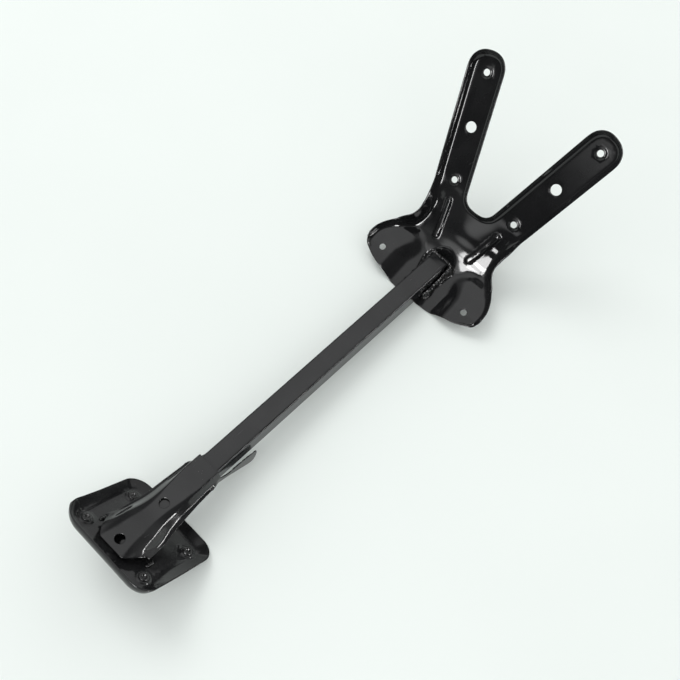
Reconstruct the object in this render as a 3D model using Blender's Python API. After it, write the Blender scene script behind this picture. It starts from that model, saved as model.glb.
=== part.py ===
"""Welded sheet-steel support bracket: square tube arm, forked yoke plate, base pan and saddle cover.

Every piece is worked out in the tube's own frame: X along the tube toward the fork, Y across the
bracket, Z out of the tube's seen face. All of it is then turned a few degrees about Y, so that the
bracket lies on the floor on its own lowest points, and centred over the origin.
"""
import math
import bpy
import bmesh
import numpy as np
from mathutils import Matrix, Vector
from mathutils.geometry import delaunay_2d_cdt

MM = 0.001
SHEET = 2.0 * MM
GAP = 0.4 * MM

# Square tube
TUBE_SIDE = 20.0 * MM
TUBE_WALL = 1.6 * MM
TUBE_RADIUS = 1.6 * MM
TUBE_TOP = 9.4 * MM
TUBE_END = 170.4 * MM
TUBE_BOTTOM = TUBE_TOP - TUBE_SIDE

# Yoke plate: a low floor that bends up into the plane of the prongs
FLOOR_START = (129.2 * MM, -18.25 * MM)
FLOOR_SLOPE = math.radians(21.7)
PRONG_SLOPE = math.radians(58.2)
BEND_START = 56.7 * MM
BEND_RADIUS = 46.0 * MM
RIM_HEIGHT = 6.5 * MM
RIM_WIDTH = 4.6 * MM
PRONG_ROOT_HOLE = (124.8 * MM, 38.2 * MM)
PRONG_MID_HOLE = (177.0 * MM, 52.7 * MM)
PRONG_TIP_HOLE = (228.5 * MM, 67.5 * MM)
EAR_HOLE = (20.0 * MM, 54.5 * MM)
PRONG_HALF_WIDTH = 18.9 * MM
PRONG_END = 20.4 * MM
SMALL_HOLE_R = 3.5 * MM
MID_HOLE_R = 5.7 * MM
COLLAR_HEIGHT = 2.0 * MM
COLLAR_CREST = 4.6 * MM
COLLAR_FOOT = 8.6 * MM
BEAD_START = (66.0 * MM, 21.8 * MM)
BEAD_END = (104.0 * MM, 31.6 * MM)
BEAD_HEIGHT = 2.8 * MM
BEAD_CREST = 1.7 * MM
BEAD_FOOT = 4.4 * MM
POCKET_HALF = 11.6 * MM
POCKET_END = 171.5 * MM
EAR_CENTRE = (30.0 * MM, 44.0 * MM)
EAR_RADIUS = 30.0 * MM
ROOT_LIFT = 8.0 * MM

# Base pan: its floor is a plane that falls toward the fork
PAN_ORIGIN = (-229.1 * MM, 0.0, -6.0 * MM)
PAN_TILT = math.radians(39.3)
PAN_FRONT = -51.0 * MM
PAN_FRONT_SLANT = 0.022
PAN_FAR = 50.4 * MM
PAN_HALF = 51.6 * MM
PAN_FAR_CORNER = 16.5 * MM
PAN_LEFT_CORNER = 24.0 * MM
PAN_RIGHT_CORNER = 17.0 * MM
PAN_HOLE = (28.8 * MM, 35.1 * MM)
PAN_HOLE_R = 4.7 * MM
PAN_RING_CREST = 5.6 * MM
PAN_RING_FOOT = 7.6 * MM
PAN_RING_HEIGHT = 1.1 * MM

# Saddle cover: stations along X as (x, height of the flat, half width of the flat)
SADDLE_TOP = [(-254.0, 22.0, 12.7), (-244.9, 20.6, 11.4), (-235.8, 18.7, 10.2), (-226.1, 16.8, 9.4),
              (-217.2, 14.7, 7.9), (-208.4, 13.0, 7.2), (-198.4, 11.9, 7.6), (-191.9, 11.8, 8.6),
              (-168.5, 11.8, 11.4), (-147.0, 11.8, 11.8)]
# the same for the root of the side lip as (x, half width, height)
SADDLE_ROOT = [(-254.0, 25.0, 13.0), (-244.9, 23.0, 6.6), (-234.9, 22.2, 3.0), (-224.5, 21.2, 2.6),
               (-216.9, 20.2, 2.4), (-206.3, 18.8, 2.4), (-197.1, 17.8, 2.6), (-186.8, 16.9, 3.6),
               (-176.5, 16.0, 3.8), (-166.2, 15.2, 3.6), (-156.0, 14.6, 3.2), (-147.0, 14.0, 3.2)]
SADDLE_LIP = 2.6 * MM
SADDLE_END = -147.0 * MM
SADDLE_FRONT = -254.0 * MM
SADDLE_SWEEP = 19.0 * MM
SADDLE_HOLE_R = 4.4 * MM
SADDLE_HOLES = (-198.1 * MM, -244.4 * MM)
FLAT_SPAN = 12.0 * MM
SHOULDER_SPAN = 14.0 * MM
TONGUE = [(-146.6, 0.8), (-143.5, 4.4), (-138.5, 7.4), (-126.4, 8.8), (-114.2, 10.8), (-103.0, 14.8),
          (-107.6, 28.8), (-124.5, 21.2), (-136.7, 13.8), (-146.5, 9.4), (-153.0, 4.6)]


def smooth(x, low, high):
    """Eased step from 0 at low to 1 at high."""
    t = np.clip((np.asarray(x, float) - low) / (high - low), 0.0, 1.0)
    return t * t * (3.0 - 2.0 * t)


def table(x, rows, column):
    """Linear reading of a table of millimetre rows, rounded a little between rows."""
    xs = np.array([r[0] for r in rows]) * MM
    ys = np.array([r[column] for r in rows]) * MM
    order = np.argsort(xs)
    total = np.zeros_like(np.asarray(x, float))
    for shift in (-5.0, -2.5, 0.0, 2.5, 5.0):
        total = total + np.interp(np.asarray(x, float) + shift * MM, xs[order], ys[order])
    return total / 5.0


def curve(points, closed=False):
    """Dense smooth curve through the given points."""
    pts = [np.array(p, float) for p in points]
    n = len(pts)
    out = []
    for i in range(n if closed else n - 1):
        if closed:
            p0, p1, p2, p3 = pts[i - 1], pts[i], pts[(i + 1) % n], pts[(i + 2) % n]
        else:
            p1, p2 = pts[i], pts[i + 1]
            p0 = pts[i - 1] if i > 0 else 2 * p1 - p2
            p3 = pts[i + 2] if i + 2 < n else 2 * p2 - p1
        for t in np.linspace(0, 1, 12, endpoint=False):
            out.append(0.5 * ((2 * p1) + (p2 - p0) * t + (2 * p0 - 5 * p1 + 4 * p2 - p3) * t ** 2
                              + (3 * p1 - p0 - 3 * p2 + p3) * t ** 3))
    if not closed:
        out.append(pts[-1])
    return np.array(out)


def resample(points, step, closed=False):
    """Points spread evenly along a line."""
    pts = np.asarray(points, float)
    if closed:
        pts = np.vstack([pts, pts[:1]])
    length = np.r_[0, np.cumsum(np.linalg.norm(np.diff(pts, axis=0), axis=1))]
    count = max(2, int(round(length[-1] / step)))
    at = np.linspace(0, length[-1], count + 1)
    out = np.c_[np.interp(at, length, pts[:, 0]), np.interp(at, length, pts[:, 1])]
    return out[:-1] if closed else out


def inward(points):
    """Unit normals that point into a counter-clockwise loop."""
    ahead = np.roll(points, -1, axis=0) - points
    back = points - np.roll(points, 1, axis=0)
    ahead /= np.linalg.norm(ahead, axis=1)[:, None]
    back /= np.linalg.norm(back, axis=1)[:, None]
    along = ahead + back
    along /= np.linalg.norm(along, axis=1)[:, None]
    return np.c_[-along[:, 1], along[:, 0]]


def inside(points, loop):
    """Which points lie inside a closed loop."""
    result = np.zeros(len(points), bool)
    x, y = points[:, 0], points[:, 1]
    for (x1, y1), (x2, y2) in zip(loop, np.roll(loop, -1, axis=0)):
        crosses = (y1 > y) != (y2 > y)
        if y1 != y2:
            result ^= crosses & (x < (x2 - x1) * (y - y1) / (y2 - y1) + x1)
    return result


def ring(centre, radius, count):
    """Closed circle of points."""
    a = np.arange(count) * 2 * math.pi / count
    return np.c_[centre[0] + radius * np.cos(a), centre[1] + radius * np.sin(a)]


def capsule(start, end, radius, cap, side):
    """Closed loop at one distance around a line."""
    s, e = np.array(start, float), np.array(end, float)
    d = (e - s) / np.linalg.norm(e - s)
    base = math.atan2(d[1], d[0])
    out = []
    for k in range(cap + 1):
        a = base - math.pi / 2 + math.pi * k / cap
        out.append(e + radius * np.array([math.cos(a), math.sin(a)]))
    left = np.array([-d[1], d[0]])
    for k in range(1, side):
        out.append(e + radius * left + (s - e) * k / side)
    for k in range(cap + 1):
        a = base + math.pi / 2 + math.pi * k / cap
        out.append(s + radius * np.array([math.cos(a), math.sin(a)]))
    for k in range(1, side):
        out.append(s - radius * left + (e - s) * k / side)
    return np.array(out)


def line_distance(points, start, end):
    """Distance of each point from a line between two points."""
    s, e = np.array(start, float), np.array(end, float)
    t = np.clip(((points - s) @ (e - s)) / ((e - s) @ (e - s)), 0, 1)
    return np.linalg.norm(points - (s + t[:, None] * (e - s)), axis=1)


def sheet_object(name, outline, rings, holes, loops, spots, place, thickness, keep_off):
    """One sheet: a flat pattern is divided into triangles, set in place and given its thickness.

    rings are loops of (points, extra height) that follow the outline, loops are open or closed lines
    kept as edges, spots are loose points, and place turns flat points and heights into space.
    """
    pts, extra, edges = [], [], []

    def add(points, heights, closed):
        first = len(pts)
        for p, h in zip(points, heights):
            pts.append((float(p[0]), float(p[1])))
            extra.append(float(h))
        count = len(points)
        for k in range(count if closed else count - 1):
            edges.append((first + k, first + (k + 1) % count))

    for points, heights in rings:
        add(points, heights, True)
    for points in holes:
        add(points, np.zeros(len(points)), True)
    for points, closed in loops:
        add(points, np.zeros(len(points)), closed)
    fixed = np.array(pts)
    inner = rings[-1][0]
    loose = spots[inside(spots, inner)]
    for p in loose:
        if np.min(np.linalg.norm(fixed - p, axis=1)) > keep_off:
            pts.append((float(p[0]), float(p[1])))
            extra.append(0.0)
    scale = 1000.0
    vecs = [Vector((p[0] * scale, p[1] * scale)) for p in pts]
    verts, _, faces, orig, _, _ = delaunay_2d_cdt(vecs, edges, [], 0, 1e-5)
    flat = np.array([(v.x, v.y) for v in verts]) / scale
    height = np.array([extra[o[0]] if o else 0.0 for o in orig])
    middle = np.array([flat[list(f)].mean(axis=0) for f in faces])
    keep = inside(middle, outline)
    for points in holes:
        keep &= ~inside(middle, points)
    if len(rings) > 1:
        on_edge = np.array([bool(o) and o[0] < len(outline) for o in orig])
        keep &= ~np.array([on_edge[list(f)].all() for f in faces])
    solid = place(flat, height)
    mesh = bpy.data.meshes.new(name)
    used = [tuple(f) for f, k in zip(faces, keep) if k]
    mesh.from_pydata([tuple(p) for p in solid], [], used)
    bm = bmesh.new()
    bm.from_mesh(mesh)
    loose_verts = [v for v in bm.verts if not v.link_faces]
    bmesh.ops.delete(bm, geom=loose_verts, context='VERTS')
    bmesh.ops.recalc_face_normals(bm, faces=bm.faces[:])
    total = sum((f.normal * f.calc_area() for f in bm.faces), Vector())
    if total.z < 0:
        bmesh.ops.reverse_faces(bm, faces=bm.faces[:])
    bm.to_mesh(mesh)
    bm.free()
    obj = bpy.data.objects.new(name, mesh)
    bpy.context.scene.collection.objects.link(obj)
    thick = obj.modifiers.new("thickness", 'SOLIDIFY')
    thick.thickness = thickness
    thick.offset = -1.0
    thick.use_even_offset = True
    thick.thickness_clamp = 1.2
    return obj


def solid_object(name, verts, faces):
    """A closed body from points and faces."""
    mesh = bpy.data.meshes.new(name)
    mesh.from_pydata([tuple(v) for v in verts], [], faces)
    bm = bmesh.new()
    bm.from_mesh(mesh)
    bmesh.ops.recalc_face_normals(bm, faces=bm.faces[:])
    bm.to_mesh(mesh)
    bm.free()
    obj = bpy.data.objects.new(name, mesh)
    bpy.context.scene.collection.objects.link(obj)
    return obj


def yoke_profile(s):
    """Middle line of the yoke plate: point and normal at a length along it."""
    s = np.asarray(s, float)
    bend = BEND_RADIUS * (PRONG_SLOPE - FLOOR_SLOPE)
    angle = FLOOR_SLOPE + np.clip((s - BEND_START) / BEND_RADIUS, 0, PRONG_SLOPE - FLOOR_SLOPE)
    ca, sa = math.cos(FLOOR_SLOPE), math.sin(FLOOR_SLOPE)
    low = np.minimum(s, BEND_START)
    x = FLOOR_START[0] + low * ca
    z = FLOOR_START[1] + low * sa
    x = x + BEND_RADIUS * (np.sin(angle) - sa)
    z = z + BEND_RADIUS * (ca - np.cos(angle))
    up = np.maximum(s - BEND_START - bend, 0)
    x = x + up * math.cos(PRONG_SLOPE)
    z = z + up * math.sin(PRONG_SLOPE)
    return x, z, -np.sin(angle), np.cos(angle)


def yoke_lift(flat):
    """Height of the pressed forms over the middle line: ears, root, beads and collars."""
    s, a = flat[:, 0], np.abs(flat[:, 1])
    pad = np.interp(s, np.array([0, 20, 36, 46, 54, 62]) * MM, np.array([8.6, 8.8, 7.1, 5.1, 4.1, 3.2]) * MM)
    foot = np.interp(s, np.array([0, 5, 20, 32, 45]) * MM, np.array([41, 40, 33, 27, 21]) * MM)
    width = np.interp(s, np.array([0, 5, 30]) * MM, np.array([15, 14, 9]) * MM)
    pad = pad * smooth((a - foot) / width, 0, 1)
    root = ROOT_LIFT * smooth(a, 24 * MM, 50 * MM) * (1 - smooth(s, 76 * MM, 105 * MM))
    reach = np.hypot(s - EAR_CENTRE[0], a - EAR_CENTRE[1])
    reach = np.where(s < EAR_CENTRE[0], np.minimum(reach, np.abs(a - EAR_CENTRE[1]) * 0.6), reach)
    in_ear = 1 - smooth(reach, EAR_RADIUS - 5 * MM, EAR_RADIUS + 1.5 * MM)
    lift = root * (1 - in_ear) + pad * in_ear
    side = np.c_[s, a]
    bead = line_distance(side, BEAD_START, BEAD_END)
    lift = lift + BEAD_HEIGHT * (1 - smooth(bead, BEAD_CREST, BEAD_FOOT))
    for hole in (PRONG_ROOT_HOLE, PRONG_TIP_HOLE):
        d = np.hypot(s - hole[0], a - hole[1])
        lift = lift + COLLAR_HEIGHT * (1 - smooth(d, COLLAR_CREST, COLLAR_FOOT))
    return lift


def yoke_place(flat, height):
    """Flat pattern of the yoke to space, with the pocket for the tube's end pressed down."""
    x0, z0, nx, nz = yoke_profile(flat[:, 0])
    lift = yoke_lift(flat) + height
    x, y, z = x0 + nx * lift, flat[:, 1], z0 + nz * lift
    ahead = np.maximum(x - POCKET_END, 0)
    reach = np.hypot(ahead, y)
    steep = 1.3 + 1.3 * smooth(ahead / np.maximum(reach, 1e-6), 0.3, 0.9)
    floor = TUBE_BOTTOM - GAP + np.maximum(reach - POCKET_HALF, 0) * steep
    k = 1.2 * MM
    blend = np.clip(0.5 + 0.5 * (z - floor) / k, 0, 1)
    z = z * (1 - blend) + floor * blend - k * blend * (1 - blend)
    return np.c_[x, y, z]


def yoke_outline():
    """Half outline of the flat pattern on the +Y side, from the middle of the cut edge to the crotch."""
    axis = np.array(PRONG_TIP_HOLE) - np.array(PRONG_ROOT_HOLE)
    axis /= np.linalg.norm(axis)
    across = np.array([-axis[1], axis[0]])
    root, tip = np.array(PRONG_ROOT_HOLE), np.array(PRONG_TIP_HOLE)
    cut = np.array([(-2.4, 0), (-2.2, 14), (-1.2, 26.2), (0.8, 33), (2.6, 42), (4.2, 50), (6.4, 57), (9.4, 63.6),
                    (12.4, 69.4)]) * MM
    ear = np.array([(12.6, 69.8), (16.0, 72.3), (22.2, 73.6), (29, 73.6), (36.4, 71.8), (45.4, 67.4), (54.2, 61.0),
                    (63.5, 54.6), (72, 51.0), (81, 49.6), (91, 50.1), (101.2, 52.5)]) * MM
    outer_low = root + across * PRONG_HALF_WIDTH - axis * 4 * MM
    outer_top = tip + across * PRONG_HALF_WIDTH + axis * 1 * MM
    inner_top = tip - across * PRONG_HALF_WIDTH + axis * 1 * MM
    inner_low = root - across * PRONG_HALF_WIDTH + axis * 12 * MM
    cap = []
    for k in range(1, 12):
        a = math.pi * k / 12
        r = PRONG_HALF_WIDTH
        e = PRONG_END - 1 * MM
        ca, sa = math.cos(a), math.sin(a)
        cap.append(outer_top * 0 + tip + axis * 1 * MM + across * r * math.copysign(abs(ca) ** 0.88, ca)
                   + axis * e * sa ** 0.88)
    crotch = np.array([(125.0, 18.6), (119.6, 16.6), (115.0, 13.0), (112.4, 7.6), (111.6, 0)]) * MM
    first = resample(curve(cut), 6.5 * MM)
    second = resample(curve(np.vstack([ear, outer_low, outer_low + axis * 8 * MM])), 5.0 * MM)
    third = resample(np.array([outer_low + axis * 8 * MM, outer_top]), 13 * MM)
    fourth = resample(curve(np.vstack([outer_top, cap, inner_top])), 5.2 * MM)
    fifth = resample(np.array([inner_top, inner_low]), 13 * MM)
    sixth = resample(curve(np.vstack([inner_low, crotch])), 4.4 * MM)
    half = np.vstack([first[:-1], first[-1:], second, third[1:], fourth[1:], fifth[1:], sixth[1:]])
    rim = np.ones(len(half))
    rim[:len(first)] = 0.0
    for k, share in enumerate((0.25, 0.6, 0.9)):
        rim[len(first) + k] = share
    return half, rim


def build_yoke():
    half, rim = yoke_outline()
    other = half[1:-1][::-1] * np.array([1, -1])
    outline = np.vstack([half, other])
    share = np.r_[rim, rim[1:-1][::-1]]
    area = np.sum(outline[:, 0] * np.roll(outline[:, 1], -1) - np.roll(outline[:, 0], -1) * outline[:, 1])
    if area < 0:
        outline, share = outline[::-1], share[::-1]
    normal = inward(outline)
    rings = []
    for part, level in ((0, 1.0), (0.16, 0.56), (0.4, 0.2), (0.68, 0.05), (1.0, 0.0)):
        rings.append((outline + normal * RIM_WIDTH * part, RIM_HEIGHT * share * level))
    holes, loops = [], []
    for sign in (1, -1):
        flip = np.array([1, sign])
        for hole in (PRONG_ROOT_HOLE, PRONG_TIP_HOLE):
            holes.append(ring(np.array(hole) * flip, SMALL_HOLE_R, 14))
            loops.append((ring(np.array(hole) * flip, COLLAR_CREST, 14), True))
            loops.append((ring(np.array(hole) * flip, COLLAR_FOOT, 14), True))
        holes.append(ring(np.array(PRONG_MID_HOLE) * flip, MID_HOLE_R, 18))
        holes.append(ring(np.array(EAR_HOLE) * flip, SMALL_HOLE_R, 14))
        for radius in (BEAD_CREST, 0.5 * (BEAD_CREST + BEAD_FOOT), BEAD_FOOT):
            loops.append((capsule(np.array(BEAD_START) * flip, np.array(BEAD_END) * flip, radius, 5, 5), True))
        for radius in (EAR_RADIUS - 5 * MM, EAR_RADIUS - 1.7 * MM, EAR_RADIUS + 1.6 * MM):
            arc = [(EAR_CENTRE[0] + radius * math.cos(a), sign * (EAR_CENTRE[1] - radius * math.sin(a)))
                   for a in np.radians(np.linspace(-28, 56, 10))]
            loops.append((np.array(arc), False))
    ca = math.cos(FLOOR_SLOPE)
    for radius in (POCKET_HALF + 0.4 * MM, POCKET_HALF + 3.2 * MM, POCKET_HALF + 6 * MM):
        line = [((147 * MM - FLOOR_START[0]) / ca, radius)]
        for a in np.radians(np.linspace(90, -90, 11)):
            line.append((((POCKET_END - FLOOR_START[0]) + radius * math.cos(a)) / ca, radius * math.sin(a)))
        line.append(((147 * MM - FLOOR_START[0]) / ca, -radius))
        loops.append((np.array(line), False))
    spots = []
    for s in np.arange(3, 122, 5.6):
        for y in np.arange(-75, 76, 5.6):
            spots.append((s * MM, y * MM))
    for s in np.arange(127, 250, 11.0):
        for y in np.arange(-91, 92, 11.0):
            spots.append((s * MM, y * MM))
    return sheet_object("yoke_plate", outline, rings, holes, loops, np.array(spots), yoke_place, SHEET, 3.0 * MM)


def pan_place(flat, height):
    """Pan floor frame to space."""
    ca, sa = math.cos(PAN_TILT), math.sin(PAN_TILT)
    lift = height.copy()
    for i in (1, -1):
        for j in (1, -1):
            d = np.hypot(flat[:, 0] - i * PAN_HOLE[0], flat[:, 1] - j * PAN_HOLE[1])
            lift = lift + PAN_RING_HEIGHT * (1 - smooth(d, PAN_RING_CREST, PAN_RING_FOOT))
    x = PAN_ORIGIN[0] + flat[:, 0] * ca + lift * sa
    z = PAN_ORIGIN[2] - flat[:, 0] * sa + lift * ca
    return np.c_[x, flat[:, 1], z]


def build_pan():
    corners = []
    for a_sign, c_sign, start, radius in ((1, 1, 0, PAN_FAR_CORNER), (-1, 1, 90, PAN_LEFT_CORNER),
                                          (-1, -1, 180, PAN_RIGHT_CORNER), (1, -1, 270, PAN_FAR_CORNER)):
        edge = PAN_FAR if a_sign > 0 else -PAN_FRONT
        centre = (a_sign * (edge - radius), c_sign * (PAN_HALF - radius))
        for a in np.radians(np.linspace(start, start + 90, 8)):
            corners.append((centre[0] + radius * math.cos(a), centre[1] + radius * math.sin(a)))
    outline = resample(np.array(corners), 5.6 * MM, closed=True)
    a, c = outline[:, 0], outline[:, 1]
    outline = outline + np.c_[1.6 * MM * smooth(a, 30 * MM, 50 * MM) * (1 - (c / PAN_HALF) ** 2)
                              + PAN_FRONT_SLANT * c * smooth(-a, 0, 40 * MM), 0 * a]
    normal = inward(outline)
    frontness = 1 - smooth(a, -46 * MM, -30 * MM)
    wall = np.interp(a, np.array([-50, -42, -34, -20, 0, 40, 50]) * MM, np.array([11.2, 10.4, 8.2, 6.4, 4.8, 3.4, 3.0]) * MM)
    width = 8.4 * MM * frontness + 11.2 * MM * (1 - frontness)
    rings = []
    for part in (0.0, 0.05, 0.16, 0.34, 0.6, 1.0):
        steep = 1 - np.sqrt(max(1 - (1 - part) ** 2, 0.0))
        flare = (1 - part) ** 1.6
        rings.append((outline + normal * (width * part)[:, None], wall * (steep * frontness + flare * (1 - frontness))))
    holes, loops = [], []
    for i in (1, -1):
        for j in (1, -1):
            centre = (i * PAN_HOLE[0], j * PAN_HOLE[1])
            holes.append(ring(centre, PAN_HOLE_R, 16))
            loops.append((ring(centre, PAN_RING_CREST, 16), True))
            loops.append((ring(centre, PAN_RING_FOOT, 16), True))
    spots = [(x * MM, y * MM) for x in np.arange(-44, 48, 14.0) for y in np.arange(-42, 43, 14.0)]
    return sheet_object("base_pan", outline, rings, holes, loops, np.array(spots), pan_place, SHEET, 4.0 * MM)


def pan_height(x):
    """Height of the pan's floor plane at x."""
    return PAN_ORIGIN[2] - (x - PAN_ORIGIN[0]) * math.tan(PAN_TILT)


def saddle_place(flat, height):
    """Flat pattern of the saddle to space: flat top, rounded shoulder, then lip or tongue."""
    q = np.abs(flat[:, 1])
    sign = np.where(flat[:, 1] < 0, -1.0, 1.0)
    x = flat[:, 0]
    top = table(x, SADDLE_TOP, 1)
    half = table(x, SADDLE_TOP, 2)
    root_y = table(x, SADDLE_ROOT, 1)
    root_z = table(x, SADDLE_ROOT, 2)
    t = np.clip((q - FLAT_SPAN) / SHOULDER_SPAN, 0, 1)
    angle = (1 - t) * math.pi / 2
    y = np.where(q < FLAT_SPAN, q / FLAT_SPAN * half, half + (root_y - half) * np.cos(angle))
    z = np.where(q < FLAT_SPAN, top, root_z + (top - root_z) * np.sin(angle))
    tail = np.maximum(q - FLAT_SPAN - SHOULDER_SPAN, 0)
    down = smooth(x, -160 * MM, -149 * MM)
    bend = np.minimum(tail / (1.0 * MM), 1) * (1 - down)
    y = y + tail * bend * 0.97
    z = z - tail * (1 - bend) - tail * bend * 0.2
    sweep = SADDLE_SWEEP * t ** 2 * (1 - smooth(x, SADDLE_FRONT, SADDLE_FRONT + 60 * MM))
    x = x + sweep
    z = np.maximum(z, pan_height(x) + SHEET / math.cos(PAN_TILT) + GAP * 2)
    return np.c_[x, y * sign, z]


def build_saddle():
    edge = FLAT_SPAN + SHOULDER_SPAN
    side = [(SADDLE_FRONT, 0.0), (SADDLE_FRONT, edge + SADDLE_LIP), (-162 * MM, edge + SADDLE_LIP)]
    tongue = [(x * MM, edge + d * MM) for x, d in TONGUE]
    half = np.vstack([resample(np.array(side[:2]), 3.4 * MM), resample(np.array(side[1:]), 9 * MM)[1:],
                      resample(np.array(tongue[::-1]), 6 * MM),
                      resample(np.array([(SADDLE_END, edge), (SADDLE_END, 0.0)]), 3.4 * MM)])
    other = half[1:-1][::-1] * np.array([1, -1])
    outline = np.vstack([half, other])
    area = np.sum(outline[:, 0] * np.roll(outline[:, 1], -1) - np.roll(outline[:, 0], -1) * outline[:, 1])
    if area < 0:
        outline = outline[::-1]
    holes = []
    for x in SADDLE_HOLES:
        half_width = float(table(x, SADDLE_TOP, 2))
        circle = ring((0.0, 0.0), SADDLE_HOLE_R, 16)
        holes.append(np.c_[circle[:, 0] + x, circle[:, 1] * FLAT_SPAN / half_width])
    loops = []
    for level in (FLAT_SPAN, FLAT_SPAN + 4 * MM, FLAT_SPAN + 8 * MM, FLAT_SPAN + 11.4 * MM, edge, edge + 1.0 * MM):
        for sign in (1, -1):
            xs = np.arange(-250, -149 if level <= edge else -161, 8.0)
            loops.append((np.array([(x * MM, level * sign) for x in xs]), False))
    spots = [(x * MM, y * MM) for x in np.arange(-250, -148, 8.0) for y in (-6.0, 0.0, 6.0)]
    none = np.zeros(len(outline))
    return sheet_object("saddle_cover", outline, [(outline, none)], holes, loops, np.array(spots), saddle_place,
                        SHEET, 2.4 * MM)


def build_tube():
    """Square tube, its end on the pan cut parallel to the pan's floor."""
    def section(half, radius):
        out = []
        for k, (sy, sz) in enumerate(((1, 1), (-1, 1), (-1, -1), (1, -1))):
            for a in np.radians(np.linspace(90 * k, 90 * k + 90, 5)):
                out.append((sy * (half - radius) + radius * math.cos(a), sz * (half - radius) + radius * math.sin(a)))
        return out
    centre = 0.5 * (TUBE_TOP + TUBE_BOTTOM)
    outer = section(TUBE_SIDE / 2, TUBE_RADIUS)
    inner = section(TUBE_SIDE / 2 - TUBE_WALL, TUBE_RADIUS * 0.5)
    verts, faces = [], []
    clear = (SHEET * 0 + GAP * 1.5) / math.cos(PAN_TILT)
    for loop in (outer, inner):
        for y, z in loop:
            height = centre + z
            x = PAN_ORIGIN[0] + (PAN_ORIGIN[2] - height + clear) / math.tan(PAN_TILT)
            verts.append((x, y, height))
        for y, z in loop:
            verts.append((TUBE_END, y, centre + z))
    n = len(outer)
    for k in range(n):
        m = (k + 1) % n
        faces.append((k, m, n + m, n + k))
        faces.append((2 * n + k, 3 * n + k, 3 * n + m, 2 * n + m))
        faces.append((k, 2 * n + k, 2 * n + m, m))
        faces.append((n + k, n + m, 3 * n + m, 3 * n + k))
    return solid_object("tube_arm", verts, faces)


def sweep_object(name, stations):
    """A closed body through cross-sections that all have the same number of points."""
    count = len(stations[0])
    verts = [p for station in stations for p in station]
    faces = []
    for i in range(len(stations) - 1):
        for k in range(count):
            m = (k + 1) % count
            faces.append((i * count + k, i * count + m, (i + 1) * count + m, (i + 1) * count + k))
    faces.append(tuple(range(count))[::-1])
    last = (len(stations) - 1) * count
    faces.append(tuple(last + k for k in range(count)))
    return solid_object(name, verts, faces)


def plate_height(x, y):
    """Height of the yoke's upper face near the tube, where the plate has no other pressed form."""
    s = (x - FLOOR_START[0]) / math.cos(FLOOR_SLOPE)
    return float(yoke_place(np.array([[s, y]]), np.zeros(1))[0, 2])


def build_yoke_weld():
    """Weld bead along both sides of the tube's end and across it, lumpy as laid by hand."""
    half = TUBE_SIDE / 2
    path = []
    for x in np.arange(133, 169, 3.0):
        path.append((x * MM, half, 0.0, 1.0))
    for a in np.radians((75, 45, 15)):
        path.append((TUBE_END, half, math.cos(a), math.sin(a)))
    for y in (5.0, 0.0, -5.0):
        path.append((TUBE_END, y * MM, 1.0, 0.0))
    for a in np.radians((-15, -45, -75)):
        path.append((TUBE_END, -half, math.cos(a), math.sin(a)))
    for x in np.arange(166, 132, -3.0):
        path.append((x * MM, -half, 0.0, -1.0))
    stations = []
    for i, (x, y, dx, dy) in enumerate(path):
        size = (3.3 + 0.5 * math.sin(i * 2.1) + 0.4 * math.sin(i * 4.7)) * MM
        end = min(i, len(path) - 1 - i)
        size *= (0.75 if end == 0 else 1.0)
        gap = GAP * 1.1
        section = []
        for out, up in ((0, 0), (1.0, 0), (1.02, 0.35), (0.72, 0.85), (0.36, 1.2), (0, 1.35)):
            px = x + dx * (gap + out * size)
            py = y + dy * (gap + out * size)
            base = max(plate_height(px, py), plate_height(px, py + 1e-4 * dy))
            lift = base + gap + up * size
            if up > 0.5:
                lift = max(lift, TUBE_BOTTOM + (up - 0.2) * size * 1.1)
            section.append((px, py, lift))
        stations.append(section)
    return sweep_object("yoke_weld", stations)


def build_saddle_weld(name, sign):
    """Short bead where the saddle's side stands on the pan's floor."""
    stations = []
    ca, sa = math.cos(PAN_TILT), math.sin(PAN_TILT)
    for i, a in enumerate(np.linspace(-19, -9, 6)):
        c = 28.1
        size = (1.5 + 0.3 * math.sin(i * 2.3)) * MM
        section = []
        for ang in np.radians((0, 45, 90, 135, 180)):
            c_mm = c * MM + size * 1.3 * math.cos(ang)
            h = GAP + size * math.sin(ang)
            x = PAN_ORIGIN[0] + a * MM * ca + h * sa
            z = PAN_ORIGIN[2] - a * MM * sa + h * ca
            section.append((x, sign * c_mm, z))
        stations.append(section)
    return sweep_object(name, stations)


def paint(obj, name, colour, roughness):
    """One gloss paint per piece."""
    mat = bpy.data.materials.new(name)
    mat.use_nodes = True
    shader = mat.node_tree.nodes["Principled BSDF"]
    shader.inputs["Base Color"].default_value = (*colour, 1.0)
    shader.inputs["Roughness"].default_value = roughness
    shader.inputs["Metallic"].default_value = 0.0
    obj.data.materials.append(mat)
    for polygon in obj.data.polygons:
        polygon.use_smooth = True


def world_points(objects):
    """Every corner of the finished pieces."""
    graph = bpy.context.evaluated_depsgraph_get()
    graph.update()
    out = []
    for obj in objects:
        ready = obj.evaluated_get(graph)
        mesh = ready.to_mesh()
        out.append(np.array([tuple(ready.matrix_world @ v.co) for v in mesh.vertices]))
        ready.to_mesh_clear()
    return np.vstack(out)


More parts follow.
